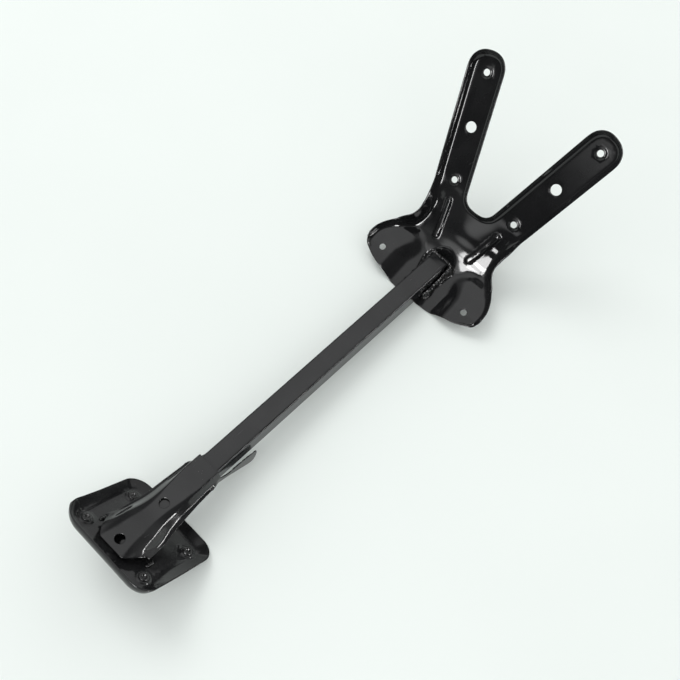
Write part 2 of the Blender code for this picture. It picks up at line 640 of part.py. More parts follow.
def rest(objects):
    """Turn the bracket about Y onto its lowest points and centre it over the origin."""
    pts = world_points(objects)
    low, high = math.radians(-10), math.radians(20)
    for _ in range(50):
        angle = 0.5 * (low + high)
        z = -pts[:, 0] * math.sin(angle) + pts[:, 2] * math.cos(angle)
        if z[pts[:, 0] < 0].min() < z[pts[:, 0] > 0].min():
            low = angle
        else:
            high = angle
    turn = Matrix.Rotation(angle, 3, 'Y')
    turned = pts @ np.array(turn).T
    middle = 0.5 * (turned.min(axis=0) + turned.max(axis=0))
    for obj in objects:
        obj.rotation_euler = (0.0, angle, 0.0)
        obj.location = (-middle[0], -middle[1], -turned[:, 2].min())
    print("REST angle_deg %.5f shift %.7f %.7f %.7f" % (math.degrees(angle), -middle[0], -middle[1],
                                                       -turned[:, 2].min()))


for old in list(bpy.data.objects):
    bpy.data.objects.remove(old, do_unlink=True)

pieces = [build_yoke(), build_tube(), build_pan(), build_saddle(), build_yoke_weld(),
          build_saddle_weld("saddle_weld_left", 1), build_saddle_weld("saddle_weld_right", -1)]
for piece in pieces:
    shade = 0.3 if "weld" in piece.name else 0.2
    paint(piece, piece.name + "_paint", (0.012, 0.012, 0.013), shade)
rest(pieces)
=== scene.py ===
"""Black painted bracket lying on a pale table: square tube, forked yoke plate, base pan and saddle cover.

Every piece is worked out in the tube's own frame, X along the tube toward the fork, Y across and Z out
of the seen face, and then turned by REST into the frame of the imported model.
"""
import math
import bpy
import bmesh
import numpy as np
from mathutils import Matrix, Vector
from mathutils.bvhtree import BVHTree
from mathutils.geometry import delaunay_2d_cdt


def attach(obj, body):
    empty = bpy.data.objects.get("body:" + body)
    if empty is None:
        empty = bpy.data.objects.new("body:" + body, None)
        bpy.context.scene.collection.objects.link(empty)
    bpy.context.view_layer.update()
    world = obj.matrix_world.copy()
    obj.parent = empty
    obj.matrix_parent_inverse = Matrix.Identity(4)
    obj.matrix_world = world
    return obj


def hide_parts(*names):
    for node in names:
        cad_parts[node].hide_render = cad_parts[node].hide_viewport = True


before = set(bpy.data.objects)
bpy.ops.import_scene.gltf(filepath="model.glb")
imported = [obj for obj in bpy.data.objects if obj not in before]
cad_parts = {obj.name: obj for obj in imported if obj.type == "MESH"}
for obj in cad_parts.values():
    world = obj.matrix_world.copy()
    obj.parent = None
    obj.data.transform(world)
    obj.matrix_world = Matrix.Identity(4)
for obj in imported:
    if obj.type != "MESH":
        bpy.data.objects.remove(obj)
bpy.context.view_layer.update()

MM = 0.001
REST_SHIFT = (-0.01611, 0.0, 0.026705)
REST_PITCH = math.radians(3.16731)
REST = Matrix.Translation(REST_SHIFT) @ Matrix.Rotation(REST_PITCH, 4, 'Y')
SHEET = 2.0 * MM
GAP = 0.4 * MM

# Lengths below that have no MM are in millimetres. Spans are the two limits of an eased step.

# Curves: steps between two points, and how far the reading of a table is rounded
CURVE_STEPS = 12
TABLE_ROUNDING = 5.0

# Sheets: limits that keep corners from running out, as multiples of the thickness or the edge's width
THICKNESS_CLAMP = 1.2
THICKNESS_REACH = 1.3
EDGE_REACH = 0.8
EDGE_SEGMENTS = 3
SHARP_ANGLE = math.radians(50)
DIVIDE_SCALE = 1000.0

# Square tube
TUBE_SIDE = 20.0 * MM
TUBE_WALL = 1.6 * MM
TUBE_RADIUS = 1.9 * MM
TUBE_TOP = 9.4 * MM
TUBE_END = 170.4 * MM
TUBE_BOTTOM = TUBE_TOP - TUBE_SIDE
TUBE_STATIONS = 40
TUBE_CORNER_POINTS = 9
TUBE_FACE_DIP = 0.10 * MM
TUBE_FACE_POINTS = (0.03, 0.5, 0.97)
TUBE_EDGE = 0.3 * MM
TUBE_SHARP_ANGLE = math.radians(45)

# Yoke plate: middle line of the sheet, from its cut edge over the bend to the prongs
FLOOR_START = (129.2 * MM, -18.25 * MM)
FLOOR_SLOPE = math.radians(21.7)
PRONG_SLOPE = math.radians(58.2)
BEND_START = 56.7 * MM
BEND_RADIUS = 46.0 * MM

# Yoke plate: holes and beads of the left half, by length along the sheet and distance across
PRONG_ROOT_HOLE = (124.8 * MM, 38.2 * MM)
PRONG_MID_HOLE = (177.0 * MM, 52.7 * MM)
PRONG_TIP_HOLE = (228.5 * MM, 67.5 * MM)
EAR_HOLE = (20.0 * MM, 54.5 * MM)
SMALL_HOLE_R = 3.3 * MM
MID_HOLE_R = 5.5 * MM
COLLAR_HEIGHT = 1.3 * MM
COLLAR_CREST = 4.1 * MM
COLLAR_FOOT = 6.7 * MM
HOLE_POINTS = 32
MID_HOLE_POINTS = 44
BEAD_START = (66.0 * MM, 21.8 * MM)
BEAD_END = (104.0 * MM, 31.6 * MM)
BEAD_HEIGHT = 2.8 * MM
BEAD_CREST = 1.7 * MM
BEAD_FOOT = 4.4 * MM

# Yoke plate: half outline of its flat pattern, in three curves with the prong between the last two
YOKE_CUT = [(-2.4, 0), (-2.2, 14), (-1.2, 26.2), (0.8, 33), (2.6, 42), (4.2, 50), (6.4, 57), (9.4, 63.6),
            (12.4, 69.4)]
YOKE_EAR = [(12.6, 69.8), (16.0, 72.3), (22.2, 73.6), (29, 73.6), (36.4, 71.8), (45.4, 67.4), (54.2, 61.0),
            (63.5, 54.6), (72, 51.0), (81, 49.6), (91, 50.1), (101.2, 52.5)]
YOKE_CROTCH = [(125.0, 18.6), (119.6, 16.6), (115.0, 13.0), (112.4, 7.6), (111.6, 0)]
YOKE_STEP = 1.7 * MM
PRONG_HALF_WIDTH = 18.9 * MM
PRONG_END = 20.4 * MM
PRONG_OUTER_LOW = 4
PRONG_INNER_LOW = 12
PRONG_TOP = 1
TIP_STEPS = 12
TIP_ROUNDNESS = 0.88

# Yoke plate: pocket pressed down round the tube's end
POCKET_HALF = TUBE_SIDE / 2 + 2.4 * MM
POCKET_END = TUBE_END - 6.0 * MM
POCKET_SIDE_SLOPE = 1.5
POCKET_END_SLOPE = 0.8
POCKET_BLEND = 2.0 * MM
POCKET_LINES = (-0.6, 0.4, 1.4)

# Yoke plate: the ears' flats, whose heights go by length along the sheet
EAR_CENTRE = (30.0 * MM, 44.0 * MM)
EAR_RADIUS = 30.0 * MM
EAR_SOFT_IN = 12.0 * MM
EAR_SOFT_OUT = 3.0 * MM
EAR_REACH_BACK = 25 * MM
EAR_REACH_AHEAD = 5 * MM
PAD_AT = (0, 20, 36, 46, 54, 62)
PAD_HEIGHTS = (8.6, 8.8, 7.1, 5.1, 4.1, 3.2)
PAD_FOOT_AT = (0, 26, 45)
PAD_FOOT = (25, 25, 19)
PAD_FOOT_SPAN = 20 * MM

# Yoke plate: crowned root that falls away to the sides
CROWN = 4.6 * MM
CROWN_START = (45, 64)
CROWN_END = (84, 126)
CROWN_FALL = 5.4 * MM
CROWN_REACH = 41 * MM
FALL_START = (45, 62)
FALL_END = (92, 118)

# Yoke plate: rim turned up all round, but not along the cut edge
RIM_HEIGHT = 6.5 * MM
RIM_WIDTH = 5.4 * MM
RIM_WIDTH_ROOT = 10.0 * MM
RIM_WIDTH_PRONG = 6.6 * MM
ROOT_LIFT = 8.0 * MM
ROOT_ACROSS = (24, 50)
ROOT_END = (76, 105)
RIM_PARTS = (0, 0.09, 0.2, 0.33, 0.47, 0.6, 0.72, 0.82, 0.91, 1.0)
RIM_POWER = 2.2
RIM_POWER_DROP = 0.2
RIM_START = (-2, 15)
RIM_BROAD_ACROSS = (30, 40)
RIM_BROAD_START = (34, 62)
RIM_BROAD_END = (96, 130)
RIM_PRONG_START = (86, 104)
RIM_SOFT_START = (86, 108)

# Base pan: floor, outline and ringed holes
PAN_ORIGIN = (-229.1 * MM, 0.0, -6.0 * MM)
PAN_TILT = math.radians(39.3)
PAN_FRONT = -51.0 * MM
PAN_FRONT_SLANT = 0.022
PAN_FAR = 50.4 * MM
PAN_HALF = 51.6 * MM
PAN_FAR_CORNER = 16.5 * MM
PAN_LEFT_CORNER = 24.0 * MM
PAN_RIGHT_CORNER = 17.0 * MM
PAN_HOLE = (28.8 * MM, 35.1 * MM)
PAN_HOLE_R = 4.7 * MM
PAN_RING_CREST = 5.6 * MM
PAN_RING_FOOT = 7.6 * MM
PAN_RING_HEIGHT = 1.1 * MM
PAN_HOLE_POINTS = 40

# Base pan: rim, steep along the front and flared along the other sides
PAN_FRONT_RIM = 11.0 * MM
PAN_SIDE_RIM = 11.2 * MM
PAN_BULGE = 1.6 * MM
PAN_BULGE_SPAN = (30, 50)
PAN_SLANT_SPAN = (0, 40)
PAN_SIDE_START = (-46, -30)
PAN_WALL_AT = (-50, -42, -34, -20, 0, 40, 50)
PAN_WALL = (11.2, 10.4, 8.2, 6.4, 4.8, 3.4, 3.0)
PAN_RIM_PARTS = (0.0, 0.03, 0.08, 0.15, 0.24, 0.34, 0.46, 0.6, 0.78, 1.0)
PAN_FLARE_POWER = 1.2

# Fasteners in the pan's holes: rows of radius and height over the floor
PLUG_SIDES = 32
PLUG_PROFILE = [(0.0, -0.9), (1.9, -0.8), (2.2, 0.9), (2.7, 1.25), (3.6, 1.15), (4.3, 0.8), (4.66, 0.3),
                (4.66, -1.0)]

# Saddle cover: rows of x, height and half width of its flat top
SADDLE_TOP = [(-254.0, 21.2, 12.7), (-244.9, 20.4, 11.4), (-235.8, 18.7, 10.2), (-226.1, 16.8, 9.4),
              (-217.2, 14.7, 7.9), (-208.4, 13.0, 7.2), (-198.4, 11.9, 7.6), (-191.9, 11.8, 8.6),
              (-168.5, 11.8, 11.4), (-147.0, 11.8, 11.8)]

# Saddle cover: rows of x, half width and height of the foot of its sides
SADDLE_ROOT = [(-254.0, 25.0, 13.0), (-244.9, 23.0, 6.6), (-234.9, 22.2, 3.0), (-224.5, 21.2, 2.6),
               (-216.9, 20.2, 2.4), (-206.3, 18.8, 2.4), (-197.1, 17.8, 2.6), (-186.8, 16.9, 3.6),
               (-176.5, 16.0, 3.8), (-166.2, 15.2, 3.6), (-156.0, 14.6, 3.2), (-147.0, 14.0, 3.2)]

# Saddle cover: ends, lip, swept-back front edge and rounding of the folds
SADDLE_LIP = 2.6 * MM
SADDLE_END = -147.0 * MM
SADDLE_FRONT = -254.0 * MM
SADDLE_SWEEP = 16.0 * MM
SADDLE_SWEEP_SPAN = 60 * MM
SADDLE_SWEEP_POWER = 1.5
SADDLE_FOLD = 1.0
SADDLE_RIDGE = 1.2 * MM

# Saddle cover: crease along each side, as shares of the way out and down from the flat top
CREASE_X = (-254.0, -228.0, -198.0, -184.0, -147.0)
CREASE_OUT = (0.64, 0.56, 0.34, 0.18, 0.16)
CREASE_DROP = (0.31, 0.27, 0.19, 0.07, 0.06)

# Saddle cover: holes and fold lines of the flat pattern
SADDLE_HOLE_R = 4.4 * MM
SADDLE_HOLES = (-198.1 * MM, -244.4 * MM)
FLAT_SPAN = 12.0 * MM
SHOULDER_SPAN = 14.0 * MM

# Saddle cover: tongue beside the tube, by x and distance past the side's foot, and the out-turned lip
TONGUE = [(-146.6, 0.8), (-143.5, 4.4), (-138.5, 7.4), (-126.4, 8.8), (-114.2, 10.8), (-103.0, 14.8),
          (-107.6, 28.8), (-124.5, 21.2), (-136.7, 13.8), (-146.5, 9.4), (-153.0, 4.6)]
LIP_TURN = (-160, -149)
LIP_OUT = 0.97
LIP_DROP = 0.2

# Weld bead of the yoke: size, drops, and height by distance from the tube's end; section out and up
WELD_SIZE = 3.9
WELD_END_SIZE = 3.0
WELD_DROP = 3.4
WELD_STEP = 0.6
WELD_BACK = -37.4
WELD_FRONT = -0.2
WELD_AT = (-37, -20, -10, -4, 0)
WELD_HEIGHT = (4.8, 6.4, 9.0, 14.5, 18.0)
WELD_SECTION = ((0, 0), (0.55, 0), (1.0, 0), (1.1, 0.06), (1.09, 0.18), (1.02, 0.36), (0.9, 0.56),
                (0.74, 0.76), (0.54, 0.93), (0.34, 1.0), (0.16, 0.95), (0, 0.82))

# Weld beads of the saddle
SADDLE_WELD_SPAN = (-19, -9)
SADDLE_WELD_ACROSS = 28.1 * MM
SADDLE_WELD_SIZE = 1.45
SADDLE_WELD_STATIONS = 22

# Paint
PAINT_IOR = 1.44
PAINT_DARK = (0.0085, 0.0086, 0.0092)
PAINT_PALE = (0.0135, 0.0136, 0.0142)
SCRATCH_COLOUR = (0.055, 0.055, 0.056)
DUST_COLOUR = (0.20, 0.20, 0.20)
WELD_DARK = (0.009, 0.009, 0.0095)
WELD_PALE = (0.02, 0.0198, 0.0196)

# Table
TABLE_HALF = 6.0
TABLE_COLOURS = ((0.845, 0.892, 0.862), (0.865, 0.912, 0.882))

# Room light: the limits of each step over the direction, then the strengths below and above them
ROOM_UP = (0.3, 0.9, 0.16, 1.05)
ROOM_AHEAD = (-0.7, 0.1, 0.35, 1.0)
ROOM_ASIDE = (-0.38, 0.22, 0.12, 1.0)
ROOM_BEYOND = (0.3, 0.9, 0.0, 0.8)
ROOM_EVEN = 0.86
ROOM_COLOUR = (0.99, 1.0, 1.0, 1.0)

# Bright patches of the room: direction, cosines of the inner and outer edge, radiance
GLOWS = [((0.15, 0.3, 0.94), 0.96, 0.80, 0.35),
         ((-0.5, 0.2, 0.84), 0.995, 0.965, 1.8),
         ((-0.855, 0.135, 0.50), 0.999, 0.981, 1.9)]

# Lamps: direction, distance, width and height in metres, radiance, the point they look at
ROOT_POINT = (0.175, -0.02, 0.03)
TUBE_POINT = (0.0, 0.0, 0.02)
WINDOWS = [("window_front", (-0.713, -0.281, 0.643), 1.7, 0.457, 1.105, 22.0, ROOT_POINT),
           ("window_high", (-0.520, -0.112, 0.848), 1.7, 0.68, 0.42, 22.0, ROOT_POINT),
           ("window_side", (0.45, -0.87, 0.22), 1.7, 1.3, 0.10, 40.0, TUBE_POINT)]
CEILING = ("ceiling_soft", (0.1, 0.5, 0.86), 4.0, 1.8, 1.8, 3.5, TUBE_POINT)

# Camera, in the tube's own frame
CAMERA_LENS = 47.29393
CAMERA_VIEW = ((0.67821, 0.60043, -0.42368, -0.33316), (-0.72711, 0.63183, -0.26852, -0.22159),
               (0.10647, 0.49018, 0.86509, 0.74182), (0.0, 0.0, 0.0, 1.0))


def smooth(x, low, high):
    """Eased step from 0 at low to 1 at high."""
    t = np.clip((np.asarray(x, float) - low) / (high - low), 0.0, 1.0)
    return t * t * (3.0 - 2.0 * t)


def span(x, limits):
    """Eased step over two limits in millimetres."""
    return smooth(x, limits[0] * MM, limits[1] * MM)


def table(x, rows, column):
    """Reading of a table of millimetre rows, rounded between rows."""
    xs = np.array([r[0] for r in rows]) * MM
    ys = np.array([r[column] for r in rows]) * MM
    order = np.argsort(xs)
    total = np.zeros_like(np.asarray(x, float))
    shifts = np.linspace(-TABLE_ROUNDING, TABLE_ROUNDING, 11)
    for shift in shifts:
        total = total + np.interp(np.asarray(x, float) + shift * MM, xs[order], ys[order])
    return total / len(shifts)


def curve(points):
    """Dense smooth curve through the given points."""
    pts = [np.array(p, float) for p in points]
    n = len(pts)
    out = []
    for i in range(n - 1):
        p1, p2 = pts[i], pts[i + 1]
        p0 = pts[i - 1] if i > 0 else 2 * p1 - p2
        p3 = pts[i + 2] if i + 2 < n else 2 * p2 - p1
        for t in np.linspace(0, 1, CURVE_STEPS, endpoint=False):
            out.append(0.5 * ((2 * p1) + (p2 - p0) * t + (2 * p0 - 5 * p1 + 4 * p2 - p3) * t ** 2
                              + (3 * p1 - p0 - 3 * p2 + p3) * t ** 3))
    out.append(pts[-1])
    return np.array(out)


def resample(points, step, closed=False):
    """Points spread evenly along a line."""
    pts = np.asarray(points, float)
    if closed:
        pts = np.vstack([pts, pts[:1]])
    length = np.r_[0, np.cumsum(np.linalg.norm(np.diff(pts, axis=0), axis=1))]
    count = max(2, int(round(length[-1] / step)))
    at = np.linspace(0, length[-1], count + 1)
    out = np.c_[np.interp(at, length, pts[:, 0]), np.interp(at, length, pts[:, 1])]
    return out[:-1] if closed else out


def inward(points):
    """Unit normals that point into a counter-clockwise loop."""
    ahead = np.roll(points, -1, axis=0) - points
    back = points - np.roll(points, 1, axis=0)
    ahead /= np.linalg.norm(ahead, axis=1)[:, None]
    back /= np.linalg.norm(back, axis=1)[:, None]
    along = ahead + back
    along /= np.linalg.norm(along, axis=1)[:, None]
    return np.c_[-along[:, 1], along[:, 0]]


def inside(points, loop):
    """Which points lie inside a closed loop."""
    result = np.zeros(len(points), bool)
    x, y = points[:, 0], points[:, 1]
    for (x1, y1), (x2, y2) in zip(loop, np.roll(loop, -1, axis=0)):
        crosses = (y1 > y) != (y2 > y)
        if y1 != y2:
            result ^= crosses & (x < (x2 - x1) * (y - y1) / (y2 - y1) + x1)
    return result


def ring(centre, radius, count):
    """Closed circle of points."""
    a = np.arange(count) * 2 * math.pi / count
    return np.c_[centre[0] + radius * np.cos(a), centre[1] + radius * np.sin(a)]


def capsule(start, end, radius, cap, side):
    """Closed loop at one distance around a line."""
    s, e = np.array(start, float), np.array(end, float)
    d = (e - s) / np.linalg.norm(e - s)
    base = math.atan2(d[1], d[0])
    left = np.array([-d[1], d[0]])
    out = []
    for k in range(cap + 1):
        a = base - math.pi / 2 + math.pi * k / cap
        out.append(e + radius * np.array([math.cos(a), math.sin(a)]))
    for k in range(1, side):
        out.append(e + radius * left + (s - e) * k / side)
    for k in range(cap + 1):
        a = base + math.pi / 2 + math.pi * k / cap
        out.append(s + radius * np.array([math.cos(a), math.sin(a)]))
    for k in range(1, side):
        out.append(s - radius * left + (e - s) * k / side)
    return np.array(out)


def line_distance(points, start, end):
    """Distance of each point from a line between two points."""
    s, e = np.array(start, float), np.array(end, float)
    t = np.clip(((points - s) @ (e - s)) / ((e - s) @ (e - s)), 0, 1)
    return np.linalg.norm(points - (s + t[:, None] * (e - s)), axis=1)


def add_object(name, mesh):
    """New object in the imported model's frame, shaded smooth."""
    mesh.transform(REST)
    obj = bpy.data.objects.new(name, mesh)
    bpy.context.scene.collection.objects.link(obj)
    for polygon in obj.data.polygons:
        polygon.use_smooth = True
    return obj


def bake(obj):
    """Turn an object's modifiers into its mesh."""
    graph = bpy.context.evaluated_depsgraph_get()
    graph.update()
    mesh = bpy.data.meshes.new_from_object(obj.evaluated_get(graph))
    obj.modifiers.clear()
    obj.data = mesh
    for polygon in obj.data.polygons:
        polygon.use_smooth = True


def round_edges(obj, width, segments, sharp):
    """Rounded edges wherever two faces meet at more than the sharp angle."""
    edge = obj.modifiers.new("edges", 'BEVEL')
    edge.width = width
    edge.segments = segments
    edge.limit_method = 'ANGLE'
    edge.angle_limit = sharp
    edge.use_clamp_overlap = False
    bake(obj)


def pull_in(obj, before, limit):
    """Bring back corners that a modifier has thrown further than the limit from the earlier surface."""
    tree = BVHTree.FromPolygons([v.co for v in before.vertices], [p.vertices[:] for p in before.polygons])
    for vertex in obj.data.vertices:
        near, _, _, distance = tree.find_nearest(vertex.co)
        if distance > limit:
            vertex.co = near + (vertex.co - near) * (limit / distance)


def sheet_object(name, outline, rings, holes, loops, spots, place, keep_off, bevel):
    """One sheet: a flat pattern is divided finely, set in place, given its thickness and rounded edges.

    rings are the outline and its inward copies with their heights, loops are lines that the division
    follows, and spots are loose points, left out where they come nearer than keep_off to a line.
    """
    pts, extra, edges = [], [], []

    def add(points, heights, closed):
        """Points with their heights over the sheet, joined to a line that the division keeps."""
        first = len(pts)
        for p, h in zip(points, heights):
            pts.append((float(p[0]), float(p[1])))
            extra.append(float(h))
        count = len(points)
        for k in range(count if closed else count - 1):
            edges.append((first + k, first + (k + 1) % count))

    for points, heights in rings:
        add(points, heights, True)
    for points in holes:
        add(points, np.zeros(len(points)), True)
    for points, closed in loops:
        add(points, np.zeros(len(points)), closed)
    fixed = np.array(pts)
    loose = spots[inside(spots, rings[-1][0])]
    for p in loose:
        if np.min(np.abs(fixed - p).sum(axis=1)) > keep_off:
            pts.append((float(p[0]), float(p[1])))
            extra.append(0.0)
    vecs = [Vector((p[0] * DIVIDE_SCALE, p[1] * DIVIDE_SCALE)) for p in pts]
    verts, _, faces, orig, _, _ = delaunay_2d_cdt(vecs, edges, [], 0, 1e-5)
    flat = np.array([(v.x, v.y) for v in verts]) / DIVIDE_SCALE
    extra = np.array([extra[o[0]] if o else 0.0 for o in orig])
    middle = np.array([flat[list(f)].mean(axis=0) for f in faces])
    keep = inside(middle, outline)
    for points in holes:
        keep &= ~inside(middle, points)
    if len(rings) > 1:
        on_edge = np.array([bool(o) and o[0] < len(outline) for o in orig])
        keep &= ~np.array([on_edge[list(f)].all() for f in faces])
    mesh = bpy.data.meshes.new(name)
    used = [tuple(f) for f, k in zip(faces, keep) if k]
    mesh.from_pydata([tuple(p) for p in place(flat, extra)], [], used)
    bm = bmesh.new()
    bm.from_mesh(mesh)
    bmesh.ops.delete(bm, geom=[v for v in bm.verts if not v.link_faces], context='VERTS')
    bmesh.ops.recalc_face_normals(bm, faces=bm.faces[:])
    total = sum((f.normal * f.calc_area() for f in bm.faces), Vector())
    if total.z < 0:
        bmesh.ops.reverse_faces(bm, faces=bm.faces[:])
    bm.to_mesh(mesh)
    bm.free()
    obj = add_object(name, mesh)
    thick = obj.modifiers.new("thickness", 'SOLIDIFY')
    thick.thickness = SHEET
    thick.offset = -1.0
    thick.use_even_offset = True
    thick.thickness_clamp = THICKNESS_CLAMP
    before = obj.data
    bake(obj)
    pull_in(obj, before, SHEET * THICKNESS_REACH)
    before = obj.data
    round_edges(obj, bevel, EDGE_SEGMENTS, SHARP_ANGLE)
    pull_in(obj, before, bevel * EDGE_REACH)
    return obj


def yoke_profile(s):
    """Middle line of the yoke plate: point and normal at a length along it."""
    s = np.asarray(s, float)
    bend = BEND_RADIUS * (PRONG_SLOPE - FLOOR_SLOPE)
    angle = FLOOR_SLOPE + np.clip((s - BEND_START) / BEND_RADIUS, 0, PRONG_SLOPE - FLOOR_SLOPE)
    ca, sa = math.cos(FLOOR_SLOPE), math.sin(FLOOR_SLOPE)
    low = np.minimum(s, BEND_START)
    x = FLOOR_START[0] + low * ca + BEND_RADIUS * (np.sin(angle) - sa)
    z = FLOOR_START[1] + low * sa + BEND_RADIUS * (ca - np.cos(angle))
    up = np.maximum(s - BEND_START - bend, 0)
    x = x + up * math.cos(PRONG_SLOPE)
    z = z + up * math.sin(PRONG_SLOPE)
    return x, z, -np.sin(angle), np.cos(angle)


def pad_height(s):
    """Height of the ears' flat."""
    return np.interp(s, np.array(PAD_AT) * MM, np.array(PAD_HEIGHTS) * MM)


def ear_share(s, a):
    """How much a point belongs to the ear and not to the yoke's root."""
    ahead = np.maximum(s - EAR_CENTRE[0], 0)
    aside = np.maximum(EAR_CENTRE[1] - a, 0) * smooth(s, EAR_CENTRE[0] - EAR_REACH_BACK,
                                                            EAR_CENTRE[0] + EAR_REACH_AHEAD)
    return 1 - smooth(np.hypot(ahead, aside), EAR_RADIUS - EAR_SOFT_IN, EAR_RADIUS + EAR_SOFT_OUT)


def edge_lift(flat):
    """Height of the rim's crest over the middle line."""
    s, a = flat[:, 0], np.abs(flat[:, 1])
    root = ROOT_LIFT * span(a, ROOT_ACROSS) * (1 - span(s, ROOT_END))
    share = ear_share(s, a)
    return root * (1 - share) + pad_height(s) * share + RIM_HEIGHT


def yoke_lift(flat):
    """Height of the pressed forms over the middle line: ears, root, beads and collars."""
    s, a = flat[:, 0], np.abs(flat[:, 1])
    share = ear_share(s, a)
    foot = np.interp(s, np.array(PAD_FOOT_AT) * MM, np.array(PAD_FOOT) * MM)
    pad = pad_height(s) * smooth(a, foot, foot + PAD_FOOT_SPAN)
    crown = CROWN * span(s, CROWN_START) * (1 - span(s, CROWN_END))
    across = np.minimum(a / CROWN_REACH, 1.0)
    crown = crown - CROWN_FALL * across ** 2 * span(s, FALL_START) * (1 - span(s, FALL_END))
    lift = crown * (1 - share) + pad * share
    bead = line_distance(np.c_[s, a], BEAD_START, BEAD_END)
    lift = lift + BEAD_HEIGHT * (1 - smooth(bead, BEAD_CREST, BEAD_FOOT))
    for hole in (PRONG_ROOT_HOLE, PRONG_TIP_HOLE):
        d = np.hypot(s - hole[0], a - hole[1])
        lift = lift + COLLAR_HEIGHT * (1 - smooth(d, COLLAR_CREST, COLLAR_FOOT))
    return lift


def yoke_place(flat, height):
    """Flat pattern of the yoke to space, with the pocket for the tube's end pressed down."""
    x0, z0, nx, nz = yoke_profile(flat[:, 0])
    lift = yoke_lift(flat) + height
    x, y, z = x0 + nx * lift, flat[:, 1], z0 + nz * lift
    ahead = np.maximum(x - POCKET_END, 0)
    reach = np.hypot(ahead, y)
    steep = POCKET_SIDE_SLOPE + POCKET_END_SLOPE * smooth(ahead / np.maximum(reach, 1e-6), 0.3, 0.9)
    floor = TUBE_BOTTOM - GAP + np.maximum(reach - POCKET_HALF, 0) * steep
    blend = np.clip(0.5 + 0.5 * (z - floor) / POCKET_BLEND, 0, 1)
    z = z * (1 - blend) + floor * blend - POCKET_BLEND * blend * (1 - blend)
    return np.c_[x, y, z]


def yoke_outline(step):
    """Half outline of the flat pattern on the +Y side, from the middle of the cut edge to the crotch.

    The second result is how far the rim is turned up at each point: not at all along the cut edge.
    """
    axis = np.array(PRONG_TIP_HOLE) - np.array(PRONG_ROOT_HOLE)
    axis /= np.linalg.norm(axis)
    across = np.array([-axis[1], axis[0]])
    root, tip = np.array(PRONG_ROOT_HOLE), np.array(PRONG_TIP_HOLE)
    cut, ear, crotch = (np.array(rows) * MM for rows in (YOKE_CUT, YOKE_EAR, YOKE_CROTCH))
    outer_low = root + across * PRONG_HALF_WIDTH - axis * PRONG_OUTER_LOW * MM
    outer_top = tip + across * PRONG_HALF_WIDTH + axis * PRONG_TOP * MM
    inner_top = tip - across * PRONG_HALF_WIDTH + axis * PRONG_TOP * MM
    inner_low = root - across * PRONG_HALF_WIDTH + axis * PRONG_INNER_LOW * MM
    cap = []
    for k in range(1, TIP_STEPS):
        a = math.pi * k / TIP_STEPS
        ca, sa = math.cos(a), math.sin(a)
        side = PRONG_HALF_WIDTH * math.copysign(abs(ca) ** TIP_ROUNDNESS, ca)
        rise = (PRONG_END - PRONG_TOP * MM) * sa ** TIP_ROUNDNESS
        cap.append(tip + axis * PRONG_TOP * MM + across * side + axis * rise)
    first = resample(curve(cut), step)
    rest_of = curve(np.vstack([ear, outer_low, outer_low + axis * 8 * MM]))
    rest_of = np.vstack([rest_of, curve(np.vstack([outer_top, cap, inner_top])),
                         curve(np.vstack([inner_low, crotch]))])
    second = resample(rest_of, step)
    half = np.vstack([first, second])
    rim = np.ones(len(half))
    rim[:len(first)] = 0.0
    run = np.arange(len(second)) * step
    rim[len(first):] = span(run, RIM_START)
    return half, rim


def mirrored(half):
    """Whole loop from its +Y half, counter-clockwise, and the order that it takes."""
    whole = np.vstack([half, half[1:-1][::-1] * np.array([1, -1])])
    after = np.roll(whole, -1, axis=0)
    area = np.sum(whole[:, 0] * after[:, 1] - after[:, 0] * whole[:, 1])
    order = np.arange(len(whole))
    return (whole, order) if area > 0 else (whole[::-1], order[::-1])


def grid(x0, x1, y0, y1, step):
    """Loose points in staggered rows, a little uneven so that no row lines up."""
    chance = np.random.RandomState(7)
    out = []
    for i, x in enumerate(np.arange(x0, x1, step * 0.87)):
        for y in np.arange(y0 + (i % 2) * step / 2, y1, step):
            out.append((x + chance.uniform(-0.08, 0.08) * step, y + chance.uniform(-0.08, 0.08) * step))
    return np.array(out) * MM


